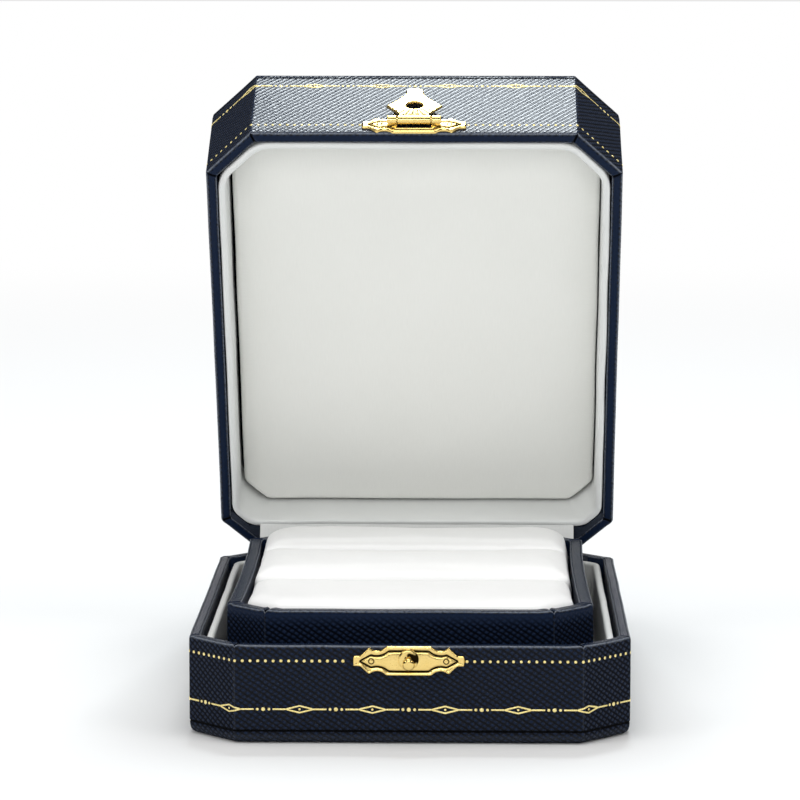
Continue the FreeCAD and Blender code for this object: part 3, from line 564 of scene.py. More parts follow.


# Copies of one covering.  On the lid the deeper painted groove shade is on the other set, to follow the
# light; the lid front's copy has shallow groove shade and is glossier, which paints it lighter as a
# painted highlight.
LEATHER = make_leatherette("navy_leatherette", 0.97, 0.72, 0.17)
TRAY_LEATHER = make_leatherette("navy_leatherette_tray", 0.97, 0.72, 0.06)
LID_LEATHER = make_leatherette("navy_leatherette_lid", 0.55, 0.97, 0.11)
LID_FRONT_LEATHER = make_leatherette("navy_leatherette_lid_front", 0.20, 0.70, 0.12, 0.10, 0.32, 0.052)
PLAIN_LEATHER = make_plain_leatherette()
LINING = make_white_leatherette("white_lining", ((0.70, 0.712, 0.70), (0.76, 0.772, 0.76)),
                                0.10, 1.2, 0.42, 3.2, 7.0, 1.0)
CUSHION = make_white_leatherette("cushion_cover", ((0.865, 0.865, 0.857), (0.895, 0.895, 0.89)),
                                 0.15, 0.9, 0.44, 2.6, 6.0, 0.6)
SATIN = make_satin()
CLOTH = make_cloth()
CARD = make_card()
BRASS = make_metal("gilt_brass", (0.93, 0.70, 0.27), (0.86, 0.61, 0.20), 0.16, 0.28)
STEEL = make_metal("hinge_steel", (0.58, 0.57, 0.54), (0.50, 0.49, 0.47), 0.28, 0.42)
FOIL = make_foil()

# ---- Covered boards and walls ----
RIM_EASE = 0.62
# A negative radius: the seam between board and wall gets painted shade.
SEAM_EASE = -0.3
LEATHER_KEEN = 50
HINGE_NOTCH = 22.3, 1.1  # half the width and the depth of the gap for the hinge in a rear rim
STOP_SLACK = math.radians(1.7)
STOP_SLOPE = math.tan((OPEN_ANGLE + STOP_SLACK) / 2)


def mitre_gap(point, outline):
    """Distance in plan from the folds where the covering is mitred at an octagon's corners."""
    spot = Vector((point.x, point.y))
    gaps = []
    for a, b in zip(outline.corners(), outline.inset(WALL * 1.2).corners()):
        along = b - a
        reach = clamp((spot - a).dot(along) / along.length_squared)
        gaps.append((spot - a - along * reach).length)
    return min(gaps)


def mitre(point, outline, rim, sign, depth=0.25, width=0.12, lap=0.12):
    """Press a narrow fold into the rim where the covering is mitred, with a slight lap beside it."""
    lap_place, lap_width = 0.7, 0.5
    if abs(point.z - rim) > 0.6:
        return point
    gap = mitre_gap(point, outline)
    rise = lap * math.exp(-((gap - lap_place) / lap_width) ** 2)
    return point + Vector((0, 0, sign * (rise - depth * math.exp(-(gap / width) ** 2))))


def shade_mitres(skin, outline, rim):
    """Give the folds at the corners of a rim painted shade, as creases."""
    for k, point in enumerate(skin.points):
        if abs(point.z - rim) < 0.1:
            # Painted shade along each mitre fold.
            crease_shade = math.exp(-(mitre_gap(point, outline) / 0.14) ** 2)
            skin.wear[k] = min(skin.wear[k], 1.0) * (1 - crease_shade) - crease_shade


def stop_bevel(point, rim, sign):
    """Plane the rear rim off behind the hinge line, where the open lid rests."""
    behind = point.y - HINGE.y
    limit = rim - sign * behind * STOP_SLOPE
    if behind > 0 and sign * (point.z - limit) > 0:
        return Vector((point.x, point.y, limit))
    return point


def mark_polish(skin, rim, front):
    """Say where the covering is polished, above zero, and where it is pressed smooth, below zero.

    Rims are pressed smooth on top and polished along their rounded edges.  front is the polish
    of the front face, and rim is None on a board, which has none.
    """
    for point, edge in zip(skin.points, skin.wear):
        if rim is not None and abs(point.z - rim) < RIM_EASE:
            skin.polish.append(1.0 if edge > 0.1 else -0.8)
        else:
            skin.polish.append(front * float(point.y < FRONT + 0.3))


def finish_covered(skin, node, body, nudge, notch=None):
    """Make a covered wall or board; the lid's front gets its own glossier copy of the covering, with less
    painted shade in its grooves, which paints it lighter than its other faces.
    """
    obj = skin.make(node + "_covered", LID_LEATHER if body == "lid" else LEATHER, body, nudge)
    if notch:
        cut_away(obj, *notch, body)
    if body == "lid":
        obj.data.materials.append(LID_FRONT_LEATHER)
        facing = LID_OPEN.to_3x3() @ Vector((0, -1, 0))
        for face in obj.data.polygons:
            face.material_index = int(face.normal.dot(facing) > 0.9)
    dress(obj, body, "navy_leatherette", node, keen=LEATHER_KEEN)


def make_wall(body, low, rim, sign):
    """Covered wall; sign is +1 where the rim is on top and -1 where it is underneath."""
    section = [(WALL, low, 0.1), (0.0, low, SEAM_EASE), (0.0, rim, RIM_EASE), (WALL, rim, 0.45)]
    skin = Skin()
    wrap(skin, rounded_section(section[::sign]), insets(OUTSIDE), 20, closed=True)
    mark_polish(skin, rim, 1.0)
    shade_mitres(skin, OUTSIDE, rim)

    def nudge(point):
        """Uneven, most of all near the rim, whose top is kept flat so that the box shuts."""
        share = 1 if abs(point.z - rim) < 1.0 else 0.4
        point = wobble(point, 0.09 * share, 9.0, low)
        point = stop_bevel(mitre(point, OUTSIDE, rim, sign), rim, sign)
        over = sign * (point.z - rim) - 0.03
        return point - Vector((0, 0, sign * max(0.0, over)))

    half, deep = HINGE_NOTCH
    below, above = sorted((rim - sign * deep, rim + sign * 2))
    notch = (-half, WALL_INSIDE.rear - 0.5, below), (half, OUTSIDE.rear + 1, above)
    finish_covered(skin, body + "_wall", body, nudge, notch)


def make_board(body, seam_z, face_z):
    """Covered board with a soft outer edge; its outer face is one flat sheet."""
    margin, soft = 6.0, 2.1
    section = [(margin, seam_z, 0), (0.0, seam_z, SEAM_EASE), (0.0, face_z, soft), (margin, face_z, 0)]
    skin = Skin()
    section = section[::1 if face_z > seam_z else -1]
    rows = wrap(skin, rounded_section(section), insets(OUTSIDE.inset(0.05)), 18)
    # The board's soft edge gets only a faint painted highlight.
    skin.wear = [min(wear, 0.3) for wear in skin.wear]
    skin.flat_face(tuple(rows[0][::-1]))
    skin.flat_face(tuple(rows[-1]))
    for k, face in enumerate(skin.faces):
        if all(abs(skin.points[i].z - face_z) < 1e-4 for i in face):
            skin.grain[k] = skin.flat_grain(face)
    mark_polish(skin, None, 1.0)

    def nudge(point):
        return point if abs(point.z - face_z) < 1e-6 else wobble(point, 0.06, 9.0, seam_z)

    finish_covered(skin, body + "_board", body, nudge)


make_wall("base", BOARD_THICK, BASE_RIM, 1)
make_wall("lid", LID_BOARD, LID_RIM, -1)
make_board("base", BOARD_THICK, 0.0)
make_board("lid", LID_BOARD, LID_TOP)

# ---- Tray ----
TRAY_LOW, TRAY_HIGH = box_mm("tray_wall")
TRAY_WALL = 2.5
TRAY_LEG = 7.3
TRAY_OUT = Octagon(TRAY_HIGH.x, TRAY_LOW.y, TRAY_HIGH.y, TRAY_LEG, TRAY_LEG, 0.6, 0.9)


def bow(point):
    """The tray's long sides are drawn in a little between its corners."""
    drawn_in, start, fade = 0.5, 24, 6
    middle = (TRAY_LOW.y + TRAY_HIGH.y) / 2
    half = (TRAY_HIGH.y - TRAY_LOW.y) / 2 - TRAY_LEG
    share = max(0.0, 1 - ((point.y - middle) / half) ** 2)
    side = clamp((abs(point.x) - start) / fade)
    return Vector((point.x - math.copysign(drawn_in * share * side, point.x), point.y, point.z))


def make_tray():
    """Raised collar round the cushion, with a smooth rail on top."""
    low, rim = TRAY_LOW.z, TRAY_HIGH.z
    corners = [(TRAY_WALL, low, 0.1), (0.0, low, 0.1), (0.0, rim, 0.5), (TRAY_WALL, rim, 0.4)]
    skin = Skin()
    wrap(skin, rounded_section(corners), insets(TRAY_OUT), 18, closed=True)
    mark_polish(skin, rim, 0.0)
    shade_mitres(skin, TRAY_OUT, rim)

    def nudge(point):
        return mitre(wobble(bow(point), 0.07, 8.0, 5.0), TRAY_OUT, rim, 1, 0.3, 0.16, 0.22)

    obj = skin.make("tray_wall_covered", TRAY_LEATHER, "base", nudge)
    dress(obj, "base", "navy_leatherette", "tray_wall", keen=LEATHER_KEEN)


make_tray()

# ---- Linings ----
LINING_THICK = 1.4
LINING_EASE = 0.68
LINING_GAP = 0.2
LID_LINING_DEPTH = 14.0
LEAN = 0.17  # how far the lid lining's rear panel leans back for each millimetre it goes deeper
LINING_LOW, LINING_HIGH = box_mm("base_lining")
BASE_LINING_OUT = Octagon(LINING_HIGH.x, LINING_LOW.y, LINING_HIGH.y, 7.0, 3.5, 5.0)


def lid_lining_outline(inset, height):
    """Outline of the lid lining, whose rear panel leans back."""
    lean = (height - LID_RIM) * LEAN
    half, front = WALL_INSIDE.half - LINING_GAP, WALL_INSIDE.front + LINING_GAP
    return Octagon(half, front, 42.5 + lean, 7.4, 3.5 + lean, 7.0).inset(inset, 4.0)


def make_lining(body, low, high, rim, outline_at, side_steps, wave, seed):
    """Stiff frame of covered card with a rounded rim; wave is how far and how widely it wavers."""
    corners = [(inset, height, LINING_EASE if height == rim else 0.1)
               for inset, height in ((LINING_THICK, low), (0.0, low), (0.0, high), (LINING_THICK, high))]
    skin = Skin()
    wrap(skin, rounded_section(corners), outline_at, side_steps, ease_steps=10, closed=True)
    node = body + "_lining"
    obj = skin.make(node + "_covered", LINING, body, lambda p: wobble(p, *wave, seed))
    dress(obj, body, "white_lining", node)


make_lining("base", LINING_LOW.z, LINING_HIGH.z, LINING_HIGH.z, insets(BASE_LINING_OUT, 1.5), 14,
            (0.12, 11.0), 2.0)
make_lining("lid", LID_RIM, LID_RIM + LID_LINING_DEPTH, LID_RIM, lid_lining_outline, 20, (0.14, 12.0), 3.0)

# ---- Lid pad ----
PAD_FACE = LID_RIM + 9.0
PAD_BACK = LID_BOARD - 1.2
PAD_OUT = Octagon(half=35.85, front=-45.95, rear=42.3, front_leg=6.9, rear_leg=4.7, ease=2.5)
PAD_CROWN = 0.5
PAD_SHIFT = Vector((0.2, 0, 0))


def make_lid_pad():
    """Padded satin panel inside the lid, crowned towards its middle."""
    margin = 3.0
    corners = [(margin, PAD_FACE, 0), (0.0, PAD_FACE, 1.1), (0.0, PAD_BACK, 0.3), (margin, PAD_BACK, 0)]
    skin = Skin()
    rows = wrap(skin, rounded_section(corners, 8), insets(PAD_OUT, 1.0), 26, 8)
    gather(skin, rows[0], 24, up=False)
    skin.flat_face(tuple(rows[-1]))

    def nudge(point):
        """Crown the face, which rises within a few millimetres of its edge."""
        if point.z > PAD_FACE + 3:
            return point + PAD_SHIFT
        edge = min(36.05 - abs(point.x), point.y + 46.05, 42.38 - point.y)
        rise = PAD_CROWN * (1 - math.exp(-max(edge, 0) / 6))
        return wobble(point, 0.10, 14.0, 7.0) - Vector((0, 0, rise)) + PAD_SHIFT

    obj = skin.make("lid_pad_covered", SATIN, "lid", nudge)
    dress(obj, "lid", "satin_pad", "lid_pad")


make_lid_pad()

# ---- Cushion ----
SIM_SCALE = 10.0
SIM_FRAMES = 16
VOXEL = 1.0
PRESSURE = 4.0
PUFF_CAP = 0.38
ROLL_SIDE_GAP = 0.05  # what a roll keeps clear of the tray at its ends
ROLL_SPILL = 0.17  # how far a roll may swell into a slit


def puff(obj, foot):
    """Swell a closed form by a short cloth run: all below foot is held, and no point moves far."""
    for vertex in obj.data.vertices:
        vertex.co *= SIM_SCALE
    change = obj.modifiers.new("even", "REMESH")
    change.mode, change.voxel_size, change.adaptivity = "VOXEL", VOXEL * MM * SIM_SCALE, 0.0
    apply_modifiers(obj)
    start = [vertex.co.copy() for vertex in obj.data.vertices]
    low = foot * MM * SIM_SCALE
    foot_points = [k for k, co in enumerate(start) if co.z < low]
    obj.vertex_groups.new(name="foot").add(foot_points, 1.0, "REPLACE")
    cloth = obj.modifiers.new("swell", "CLOTH")
    held = cloth.settings
    held.quality, held.mass = 6, 0.3
    held.tension_stiffness = held.compression_stiffness = 8.0
    held.shear_stiffness, held.bending_stiffness = 4.0, 0.3
    held.use_pressure, held.uniform_pressure_force = True, PRESSURE
    held.effector_weights.gravity = 0.0
    held.vertex_group_mass = "foot"
    cloth.collision_settings.use_collision = False
    cloth.point_cache.frame_start, cloth.point_cache.frame_end = 1, SIM_FRAMES
    for number in range(1, SIM_FRAMES + 1):
        bpy.context.scene.frame_set(number)
    apply_modifiers(obj)
    bpy.context.scene.frame_set(1)
    obj.vertex_groups.clear()
    limit = PUFF_CAP * MM * SIM_SCALE
    for vertex, before in zip(obj.data.vertices, start):
        move = vertex.co - before
        if move.length > limit:
            move *= limit / move.length
        vertex.co = (before + move) / SIM_SCALE


def make_roll(name, front_leg, rear_leg, end_drop, rear_drop, seed):
    """One crowned roll, puffed up by a short cloth run and kept inside the tray and its slits.

    end_drop and rear_drop say how far it sinks at its two ends and along its rear.
    """
    low, high = box_mm(name)
    ends, rear, slack = 4.5, 5.0, 0.25
    outline = Octagon(high.x, low.y, high.y, front_leg, rear_leg, 1.2)
    corners = [(3.0, low.z, 0), (slack, low.z, 0.4),
               (slack, high.z - 0.32, 1.0), (4.0, high.z - 0.27, 0)]
    skin = Skin()
    rows = wrap(skin, rounded_section(corners, 8), insets(outline, 0.3), 22)
    skin.flat_face(tuple(rows[0][::-1]))
    gather(skin, rows[-1], 9, lambda share: 0.10 * math.sin(share * math.pi / 2))
    obj = skin.make(name + "_covered", CUSHION, "base")
    puff(obj, low.z + 1.0)
    soften = obj.modifiers.new("smooth", "SMOOTH")
    soften.factor, soften.iterations = 0.5, 4
    finer = obj.modifiers.new("finer", "SUBSURF")
    finer.levels = finer.render_levels = 1
    apply_modifiers(obj)
    side = high.x - ROLL_SIDE_GAP
    for vertex in obj.data.vertices:
        point = vertex.co / MM
        lift = clamp((point.z - low.z) / 6)
        end = max(0.0, abs(point.x) - (high.x - ends)) / ends
        back = max(0.0, point.y - (high.y - rear)) / rear
        point = point - Vector((0, 0, lift * (end_drop * end * end + rear_drop * back * back)))
        point = wobble(point, 0.12 * lift, 7.0, seed)
        point.x = max(-side, min(side, point.x))
        point.y = max(low.y - ROLL_SPILL, min(high.y + ROLL_SPILL, point.y))
        point.z = max(low.z, point.z)
        vertex.co = bow(point) * MM
    obj.data.shade_smooth()
    dress(obj, "base", "cushion", name)


make_roll("cushion_front_roll", 6.1, 0.6, 0.4, 0.0, 11.0)
make_roll("cushion_middle_roll", 0.6, 0.6, 0.4, 0.0, 12.0)
make_roll("cushion_rear_roll", 0.6, 6.1, 1.3, 1.3, 13.0)

# ---- Carried-over CAD pieces ----
for material, nodes in (
        (LINING, ("base_floor_liner",)),
        (PLAIN_LEATHER, ("base_hinge_rail", "lid_hinge_rail")),
        (CARD, ("tray_floor", "lid_pad_board")),
        (STEEL, ("hinge_base_leaf", "hinge_lid_leaf", "hinge_pin", "hinge_spring",
                 "hinge_base_tacks", "hinge_lid_tacks"))):
    for node in nodes:
        for place in frame["nodes"][node].material_slots:
            place.material = material

# ---- Stamped brass ----
BRASS_KEEN = 60
PLATE_THICK = 0.5
TACK_X = 6.7
ALONG_X = Vector((1, 0, 0))


def arc_through(a, b, c, steps):
    """Points on the circle through three points, from a to c."""
    a, b, c = complex(*a), complex(*b), complex(*c)
    skew = (c - a) / (b - a)
    centre = a + (b - a) * (skew - abs(skew) ** 2) / (2j * skew.imag)
    turn = cmath.phase((c - centre) / (a - centre)) % math.tau
    if cmath.phase((b - centre) / (a - centre)) % math.tau > turn:
        turn -= math.tau
    arc = [centre + (a - centre) * cmath.rect(1, turn * k / steps) for k in range(steps + 1)]
    return [(p.real, p.imag) for p in arc]


def mirror_quarter(quarter):
    """Whole outline, anticlockwise, from the quarter between the +X and the +Y axis."""
    half = quarter + [(-x, y) for x, y in reversed(quarter[:-1])]
    return half + [(-x, -y) for x, y in half[1:-1]]


def resample(outline, spacing, soften=0):
    """Evenly spaced points round a closed outline, with its corners eased a little."""
    out = []
    for (ax, ay), (bx, by) in zip(outline, outline[1:] + outline[:1]):
        count = max(1, round(math.hypot(bx - ax, by - ay) / spacing))
        out += [(ax + (bx - ax) * k / count, ay + (by - ay) * k / count) for k in range(count)]
    for _pass in range(soften):
        out = [((p[0] + 2 * q[0] + r[0]) / 4, (p[1] + 2 * q[1] + r[1]) / 4)
               for p, q, r in zip(out[-1:] + out[:-1], out, out[1:] + out[:1])]
    return out


def signed_gap(points, outline):
    """Distance of each point from a closed outline, positive inside."""
    px, py = np.asarray(points, float)[:, :2].T
    corners = np.asarray(outline, float)
    gaps, inside = np.full(len(px), np.inf), np.zeros(len(px), bool)
    for (ax, ay), (bx, by) in zip(corners, np.roll(corners, -1, axis=0)):
        ex, ey = bx - ax, by - ay
        share = np.clip(((px - ax) * ex + (py - ay) * ey) / (ex * ex + ey * ey + 1e-12), 0, 1)
        gaps = np.minimum(gaps, np.hypot(px - ax - share * ex, py - ay - share * ey))
        if ey:
            inside ^= ((ay > py) != (by > py)) & (px < ax + ex * (py - ay) / ey)
    return np.where(inside, gaps, -gaps)


def stamped_sheet(outline, holes, height, spacing, extra=()):
    """Triangles filling an outline, raised by height(points); returns points, heights and faces."""
    fixed, edges = [], []
    for loop in [outline] + holes:
        edges += [(len(fixed) + k, len(fixed) + m) for k, m in around(len(loop))]
        fixed += loop
    xs, ys = zip(*outline)
    levels = np.arange(min(ys), max(ys), spacing * math.sqrt(3) / 2)
    inner = np.array([(x, y) for row, y in enumerate(levels)
                      for x in np.arange(min(xs) + row % 2 * spacing / 2, max(xs), spacing)])
    for x, y in extra:
        inner = inner[np.hypot(inner[:, 0] - x, inner[:, 1] - y) > spacing * 0.6]
    inner = np.vstack([inner, *extra])
    room = np.min([signed_gap(inner, outline)] + [-signed_gap(inner, hole) for hole in holes], axis=0)
    inner = inner[room > spacing * 0.5].tolist()
    points, _edges, faces = delaunay_2d_cdt([Vector(p) for p in fixed + inner], edges, [], 1, 1e-7)[:3]
    for hole in holes:
        middles = [sum((points[i] for i in face), Vector((0, 0))) / len(face) for face in faces]
        faces = [face for face, gap in zip(faces, signed_gap(middles, hole)) if gap <= 0]
    points = [(p.x, p.y) for p in points]
    return points, height(np.array(points)), faces


def stamped_piece(skin, sheet, at, back, lines=None):
    """Add a stamped sheet: its face, its sides down to back, and a flat back; lines marks tarnished places
    with painted shade.
    """
    points, rises, faces = sheet
    marks = [-float(value) for value in lines(np.array(points))] if lines else 0.0
    top = skin.add_points([at(x, z, rise) for (x, z), rise in zip(points, rises)], marks)
    under = skin.add_points([at(x, z, back(z)) for x, z in points])
    for face in faces:
        skin.flat_face(tuple(top[i] for i in face))
        skin.flat_face(tuple(under[i] for i in reversed(face)))
    sides = [side for face in faces for side in zip(face, face[1:] + face[:1])]
    paired = set(sides)
    for i, j in sides:
        if (j, i) not in paired:
            skin.flat_face((top[j], top[i], under[i], under[j]))


def stamped_plate_quarter():
    """Square end tab, pointed shoulder, hollow waist and long flat middle."""
    waist = arc_through((7.1, 2.55), (5.6, 1.9), (4.1, 2.7), 16)
    return [(10.0, 0.0), (10.0, 1.0), (8.7, 1.0)] + waist + [(0.0, 2.7)]


def panel_quarter():
    """Recessed panel: pointed ends, shallow waists and a flat middle."""
    waist = arc_through((6.75, 1.12), (5.2, 1.0), (3.6, 1.80), 10)
    return [(8.75, 0.0)] + waist + [(0.0, 1.84)]


PLATE = resample(mirror_quarter(stamped_plate_quarter()), 0.11, 9)
PANEL = resample(mirror_quarter(panel_quarter()), 0.11, 3)


def bell(gap, width, power=2):
    """1 on a line, falling smoothly to nothing a width or two away."""
    return np.exp(-(gap / width) ** power)


def step_up(gap, width):
    """0 up to a line, and rising evenly to 1 over a width."""
    return np.clip(gap / width, 0, 1)


def tack_gap(points):
    """Distance of each point on a plate from the nearer tack's middle."""
    return np.hypot(np.abs(points[:, 0]) - TACK_X, points[:, 1])


def plate_lines(points):
    """Tarnished places with painted shade in the groove round the panel, and painted shade in a ring round
    each tack.
    """
    return bell(signed_gap(points, PANEL) + 0.02, 0.16) + 0.7 * bell(tack_gap(points) - 0.46, 0.14)


def plate_height(points):
    """Rolled rim, flat band, pressed groove, a gently crowned panel and a dimple for each tack."""
    edge, panel = signed_gap(points, PLATE), signed_gap(points, PANEL)
    rolled = np.sqrt(np.clip(1 - (1 - step_up(edge, 0.22)) ** 2, 0, 1))
    crown = np.clip(1 - (points[:, 1] / 1.9) ** 2, 0, 1) * step_up(panel, 0.6)
    return (PLATE_THICK * (0.45 + 0.55 * rolled) + 0.10 * bell(edge - 0.32, 0.15)
            - 0.26 * bell(panel, 0.13) + 0.10 * crown - 0.10 * bell(tack_gap(points), 0.62, 4))


def plate_extra():
    """Rows of points along the groove and the rolled rim, so that both come out crisp."""
    out = []
    for outline, gaps in ((PANEL, (-0.14, 0.0, 0.14)), (PLATE, (0.14, 0.30))):
        spots = np.asarray(outline)
        along = np.roll(spots, -1, axis=0) - np.roll(spots, 1, axis=0)
        along /= np.linalg.norm(along, axis=1)[:, None]
        inward = np.stack([-along[:, 1], along[:, 0]], axis=1)
        for gap in gaps:
            shifted = spots + inward * gap
            out += list(shifted[np.abs(signed_gap(shifted, outline) - gap) < 0.03])
    return out


def lathe(skin, profile, origin, axis, steps=40):
    """Turned form; profile is (radius, distance along the axis)."""
    axis = axis.normalized()
    side = axis.orthogonal().normalized()
    other = axis.cross(side)
    turns = [math.tau * k / steps for k in range(steps)]
    rows = []
    for radius, reach in profile:
        centre = origin + axis * reach
        spots = [centre + (side * math.cos(t) + other * math.sin(t)) * radius for t in turns]
        rows.append(skin.add_points(spots if radius > 1e-6 else [centre]))
    for a, b in zip(rows, rows[1:]):
        for k, m in around(steps):
            if len(b) == 1:
                skin.flat_face((a[k], a[m], b[0]))
            elif len(a) == 1:
                skin.flat_face((a[0], b[m], b[k]))
            else:
                skin.flat_face((a[k], a[m], b[m], b[k]))


def rounded_run(corners, steps=5):
    """Points of an open profile given as (a, b, radius) corners."""
    out = []
    for k, (a, b, radius) in enumerate(corners):
        here = Vector((a, b))
        if radius == 0:
            out.append((a, b))
            continue
        before = here + (Vector(corners[k - 1][:2]) - here).normalized() * radius
        after = here + (Vector(corners[k + 1][:2]) - here).normalized() * radius
        out += [tuple(p) for p in bend(before, here, after, steps)]
    return out


def brass_piece(skin, node, how, body):
    """Make a skin into the brass piece that stands for a CAD node."""
    obj = skin.make(f"{node}_{how}", BRASS, body)
    dress(obj, body, "gilt_brass", node, keen=BRASS_KEEN)


def stamped_plate(centre_z, holes, height):
    """Plate on the shut box's front face, round a height, as a skin."""
    skin = Skin()
    sheet = stamped_sheet(PLATE, holes, height, 0.17, plate_extra())
    stamped_piece(skin, sheet, lambda x, z, out: Vector((x, FRONT - out, centre_z + z)),
                  lambda z: 0.0, plate_lines)
    return skin


def make_tacks(node, height, body):
    """Low domed heads of the two tacks through a plate, with their shanks."""
    skin = Skin()
    head = rounded_run([(0.3, -1.6, 0), (0.3, 0.0, 0.02), (0.40, 0.02, 0.02), (0.38, 0.12, 0.06),
                        (0.0, 0.16, 0)])
    for x in (-TACK_X, TACK_X):
        lathe(skin, head, Vector((x, FRONT - PLATE_THICK + 0.06, height)), Vector((0, -1, 0)), 20)
    brass_piece(skin, node, "domed", body)


def make_knob():
    """Turned stud on a collar, both set a little askew; the collar's right side and the ring round the
    stud carry a painted dark reflection.
    """
    face = Vector((0, FRONT - PLATE_THICK, CATCH_Z))
    centre = face + Vector((-0.05, 0, 0.35))
    skin = Skin()
    collar = rounded_run([(1.85, -0.1, 0), (1.85, 0.22, 0.12), (1.55, 0.36, 0.1), (0.8, 0.38, 0.1),
                          (0.6, 0.5, 0)])
    lathe(skin, collar, centre, Vector((0.03, -1, -0.02)))
    # Painted dark reflection on the collar's right side and round the stud's neck.
    for k, point in enumerate(skin.points):
        across, up = point.x - centre.x, point.z - centre.z
        shade = 0.8 * max(0.0, across - 0.5) * max(0.0, 1 - abs(up - 0.3) / 1.5)
        neck = clamp((across + 0.5) / 0.6) if math.hypot(across, up) < 1.1 else 0.0
        skin.wear[k] = -min(1.0, 1.3 * shade + neck)
    knob = rounded_run([(0.8, 0.0, 0), (0.8, 0.8, 0.1), (1.1, 1.1, 0.2), (1.1, 2.0, 0.55), (0.0, 2.1, 0)])
    lathe(skin, knob, face + Vector((0, 0, -0.1)), Vector((0, -1, -0.14)))
    brass_piece(skin, "catch_knob", "turned", "base")


HASP_HALF = 3.2
KNUCKLE = 1.8
HASP_GAP = 0.12
HASP_RADIUS = 0.95
PIN_RADIUS = 0.4
PIN_GAP = 0.03
KNUCKLE_START = HASP_HALF + HASP_GAP
KNUCKLE_END = KNUCKLE_START + KNUCKLE


def barrel(skin, low, high):
    """Rolled sheet barrel along the hasp's axis, with eased ends."""
    ease, bore = 0.14, PIN_RADIUS + PIN_GAP
    profile = rounded_run([(bore, low, 0), (HASP_RADIUS, low, ease), (HASP_RADIUS, high, ease),
                           (bore, high, 0)], 4)
    lathe(skin, profile[::-1], HASP_AXIS, ALONG_X, 36)


def make_hasp_plate():
    """Plate with a window for the tongue's barrel, and a knuckle on each side of it."""
    side, up = KNUCKLE_START, HASP_RADIUS + 0.25
    window = resample([(-side, -up), (side, -up), (side, up), (-side, up)], 0.15)
    skin = stamped_plate(HASP_Z, [window], lambda points: (
        plate_height(points) - 0.12 * bell(signed_gap(points, window), 0.14)))
    foot = HASP_Z - HASP_RADIUS
    for low, high in ((KNUCKLE_START, KNUCKLE_END), (-KNUCKLE_END, -KNUCKLE_START)):
        barrel(skin, low, high)
        add_block(skin, (low, HASP_AXIS.y, foot + 0.02), (high, FRONT - 0.3, foot + 0.5))
    brass_piece(skin, "hasp_plate", "stamped", "lid")


def make_hasp_pin():
    """Plain pin through both knuckles and the tongue's barrel."""
    end = KNUCKLE_END
    profile = rounded_run([(0.0, -end, 0), (PIN_RADIUS, -end, 0.1), (PIN_RADIUS, end, 0.1), (0.0, end, 0)])
    skin = Skin()
    lathe(skin, profile[::-1], HASP_AXIS, ALONG_X, 24)
    brass_piece(skin, "hasp_pin", "turned", "lid")


TONGUE_LONG = 12.4
TONGUE_HALF = 5.5
TONGUE_THICK = 0.5
TONGUE_OFFSET = 0.15
TONGUE_HOLE = 1.58
HOLE_UP = 5.5
HOLE_STEPS = 56
RAYS = 24


def tongue_half():
    """Right half of the tongue from the barrel up: straight flare, hollow waist, narrow tip."""
    neck, half_neck, shoulder = 10.2, 1.7, TONGUE_LONG - 0.8
    hollow = ((TONGUE_HALF + half_neck) / 2 - 0.35, (HOLE_UP + neck) / 2)
    waist = arc_through((TONGUE_HALF, HOLE_UP), hollow, (half_neck, neck), 12)
    tip = arc_through((half_neck, shoulder), (0.0, TONGUE_LONG), (-half_neck, shoulder), 12)
    return [(3.05, 0.5), (3.05, 1.9)] + waist + tip[:7]


def fold(z):
    """How far the blade stands out; it slopes in from its roll to the widest line."""
    return 0.52 * np.clip((HOLE_UP + 0.2 - z) / HOLE_UP, 0, 0.93)


def make_tongue():
    """Stamped blade with a hole for the knob, a fan of pressed rays and a rolled barrel."""
    right = tongue_half()
    outline = resample(right + [(-x, z) for x, z in reversed(right[:-1])], 0.14, 6)
    turns = [math.tau * k / HOLE_STEPS for k in range(HOLE_STEPS)]
    hole = [(TONGUE_HOLE * math.cos(t), HOLE_UP + TONGUE_HOLE * math.sin(t)) for t in turns]

    def height(points):
        x, z = points[:, 0], points[:, 1]
        edge, opening = signed_gap(points, outline), -signed_gap(points, hole)
        ray = 0.5 - 0.5 * np.cos(np.arctan2(x, HOLE_UP + 0.6 - z) * RAYS)
        fan = step_up(HOLE_UP - z, 1.2) * step_up(z - 0.9, 0.8)
        inside = step_up(opening - 0.2, 0.4) * step_up(edge - 0.2, 0.4)
        return (fold(z) - 0.22 * (1 - step_up(edge, 0.25)) ** 2
                - 0.10 * (1 - step_up(opening, 0.2)) ** 2 - 0.06 * fan * inside * ray)

    skin = Skin()
    stamped_piece(skin, stamped_sheet(outline, [hole], height, 0.13),
                  lambda x, z, out: HASP_AXIS + Vector((x, -(out + TONGUE_OFFSET), z)),
                  lambda z: float(fold(z)) - TONGUE_THICK)
    barrel(skin, -HASP_HALF, HASP_HALF)
    brass_piece(skin, "hasp_tongue", "stamped", "hasp")


brass_piece(stamped_plate(CATCH_Z, [], plate_height), "catch_plate", "stamped", "base")
make_knob()
make_tacks("catch_tacks", CATCH_Z, "base")
make_hasp_plate()
make_tacks("hasp_tacks", HASP_Z, "lid")
make_hasp_pin()
make_tongue()

# ---- Gold tooling ----
DOT_PITCH = 1.386
DOT_RADIUS = 0.31
DOT_SIDES = 12
BORDER_PITCH = 12.95
LINE_WIDTH = 0.36
PROUD = 0.05
SUNK = -0.06


class Trail:
    """The line round a wall's outer face, measured in millimetres from the middle of the front."""

    def __init__(self):
        self.points = [Vector((p.x, p.y)) for p in OUTSIDE.ring(0.0, 14, 8)]
        self.steps = lengths(self.points, True)
        self.points.append(self.points[0])
        self.half = self.steps[-1] / 2

    def at(self, distance, height, proud):
        """Point on the wall at a distance along it, standing a little proud."""
        target = (distance + self.half) % (2 * self.half)
        k = max(bisect.bisect_left(self.steps, target) - 1, 0)
        share = (target - self.steps[k]) / (self.steps[k + 1] - self.steps[k])
        a, b = self.points[k], self.points[k + 1]
        along = (b - a).normalized()
        spot = a.lerp(b, share) + Vector((along.y, -along.x)) * proud
        return Vector((spot.x, spot.y, height))


TRAIL = Trail()


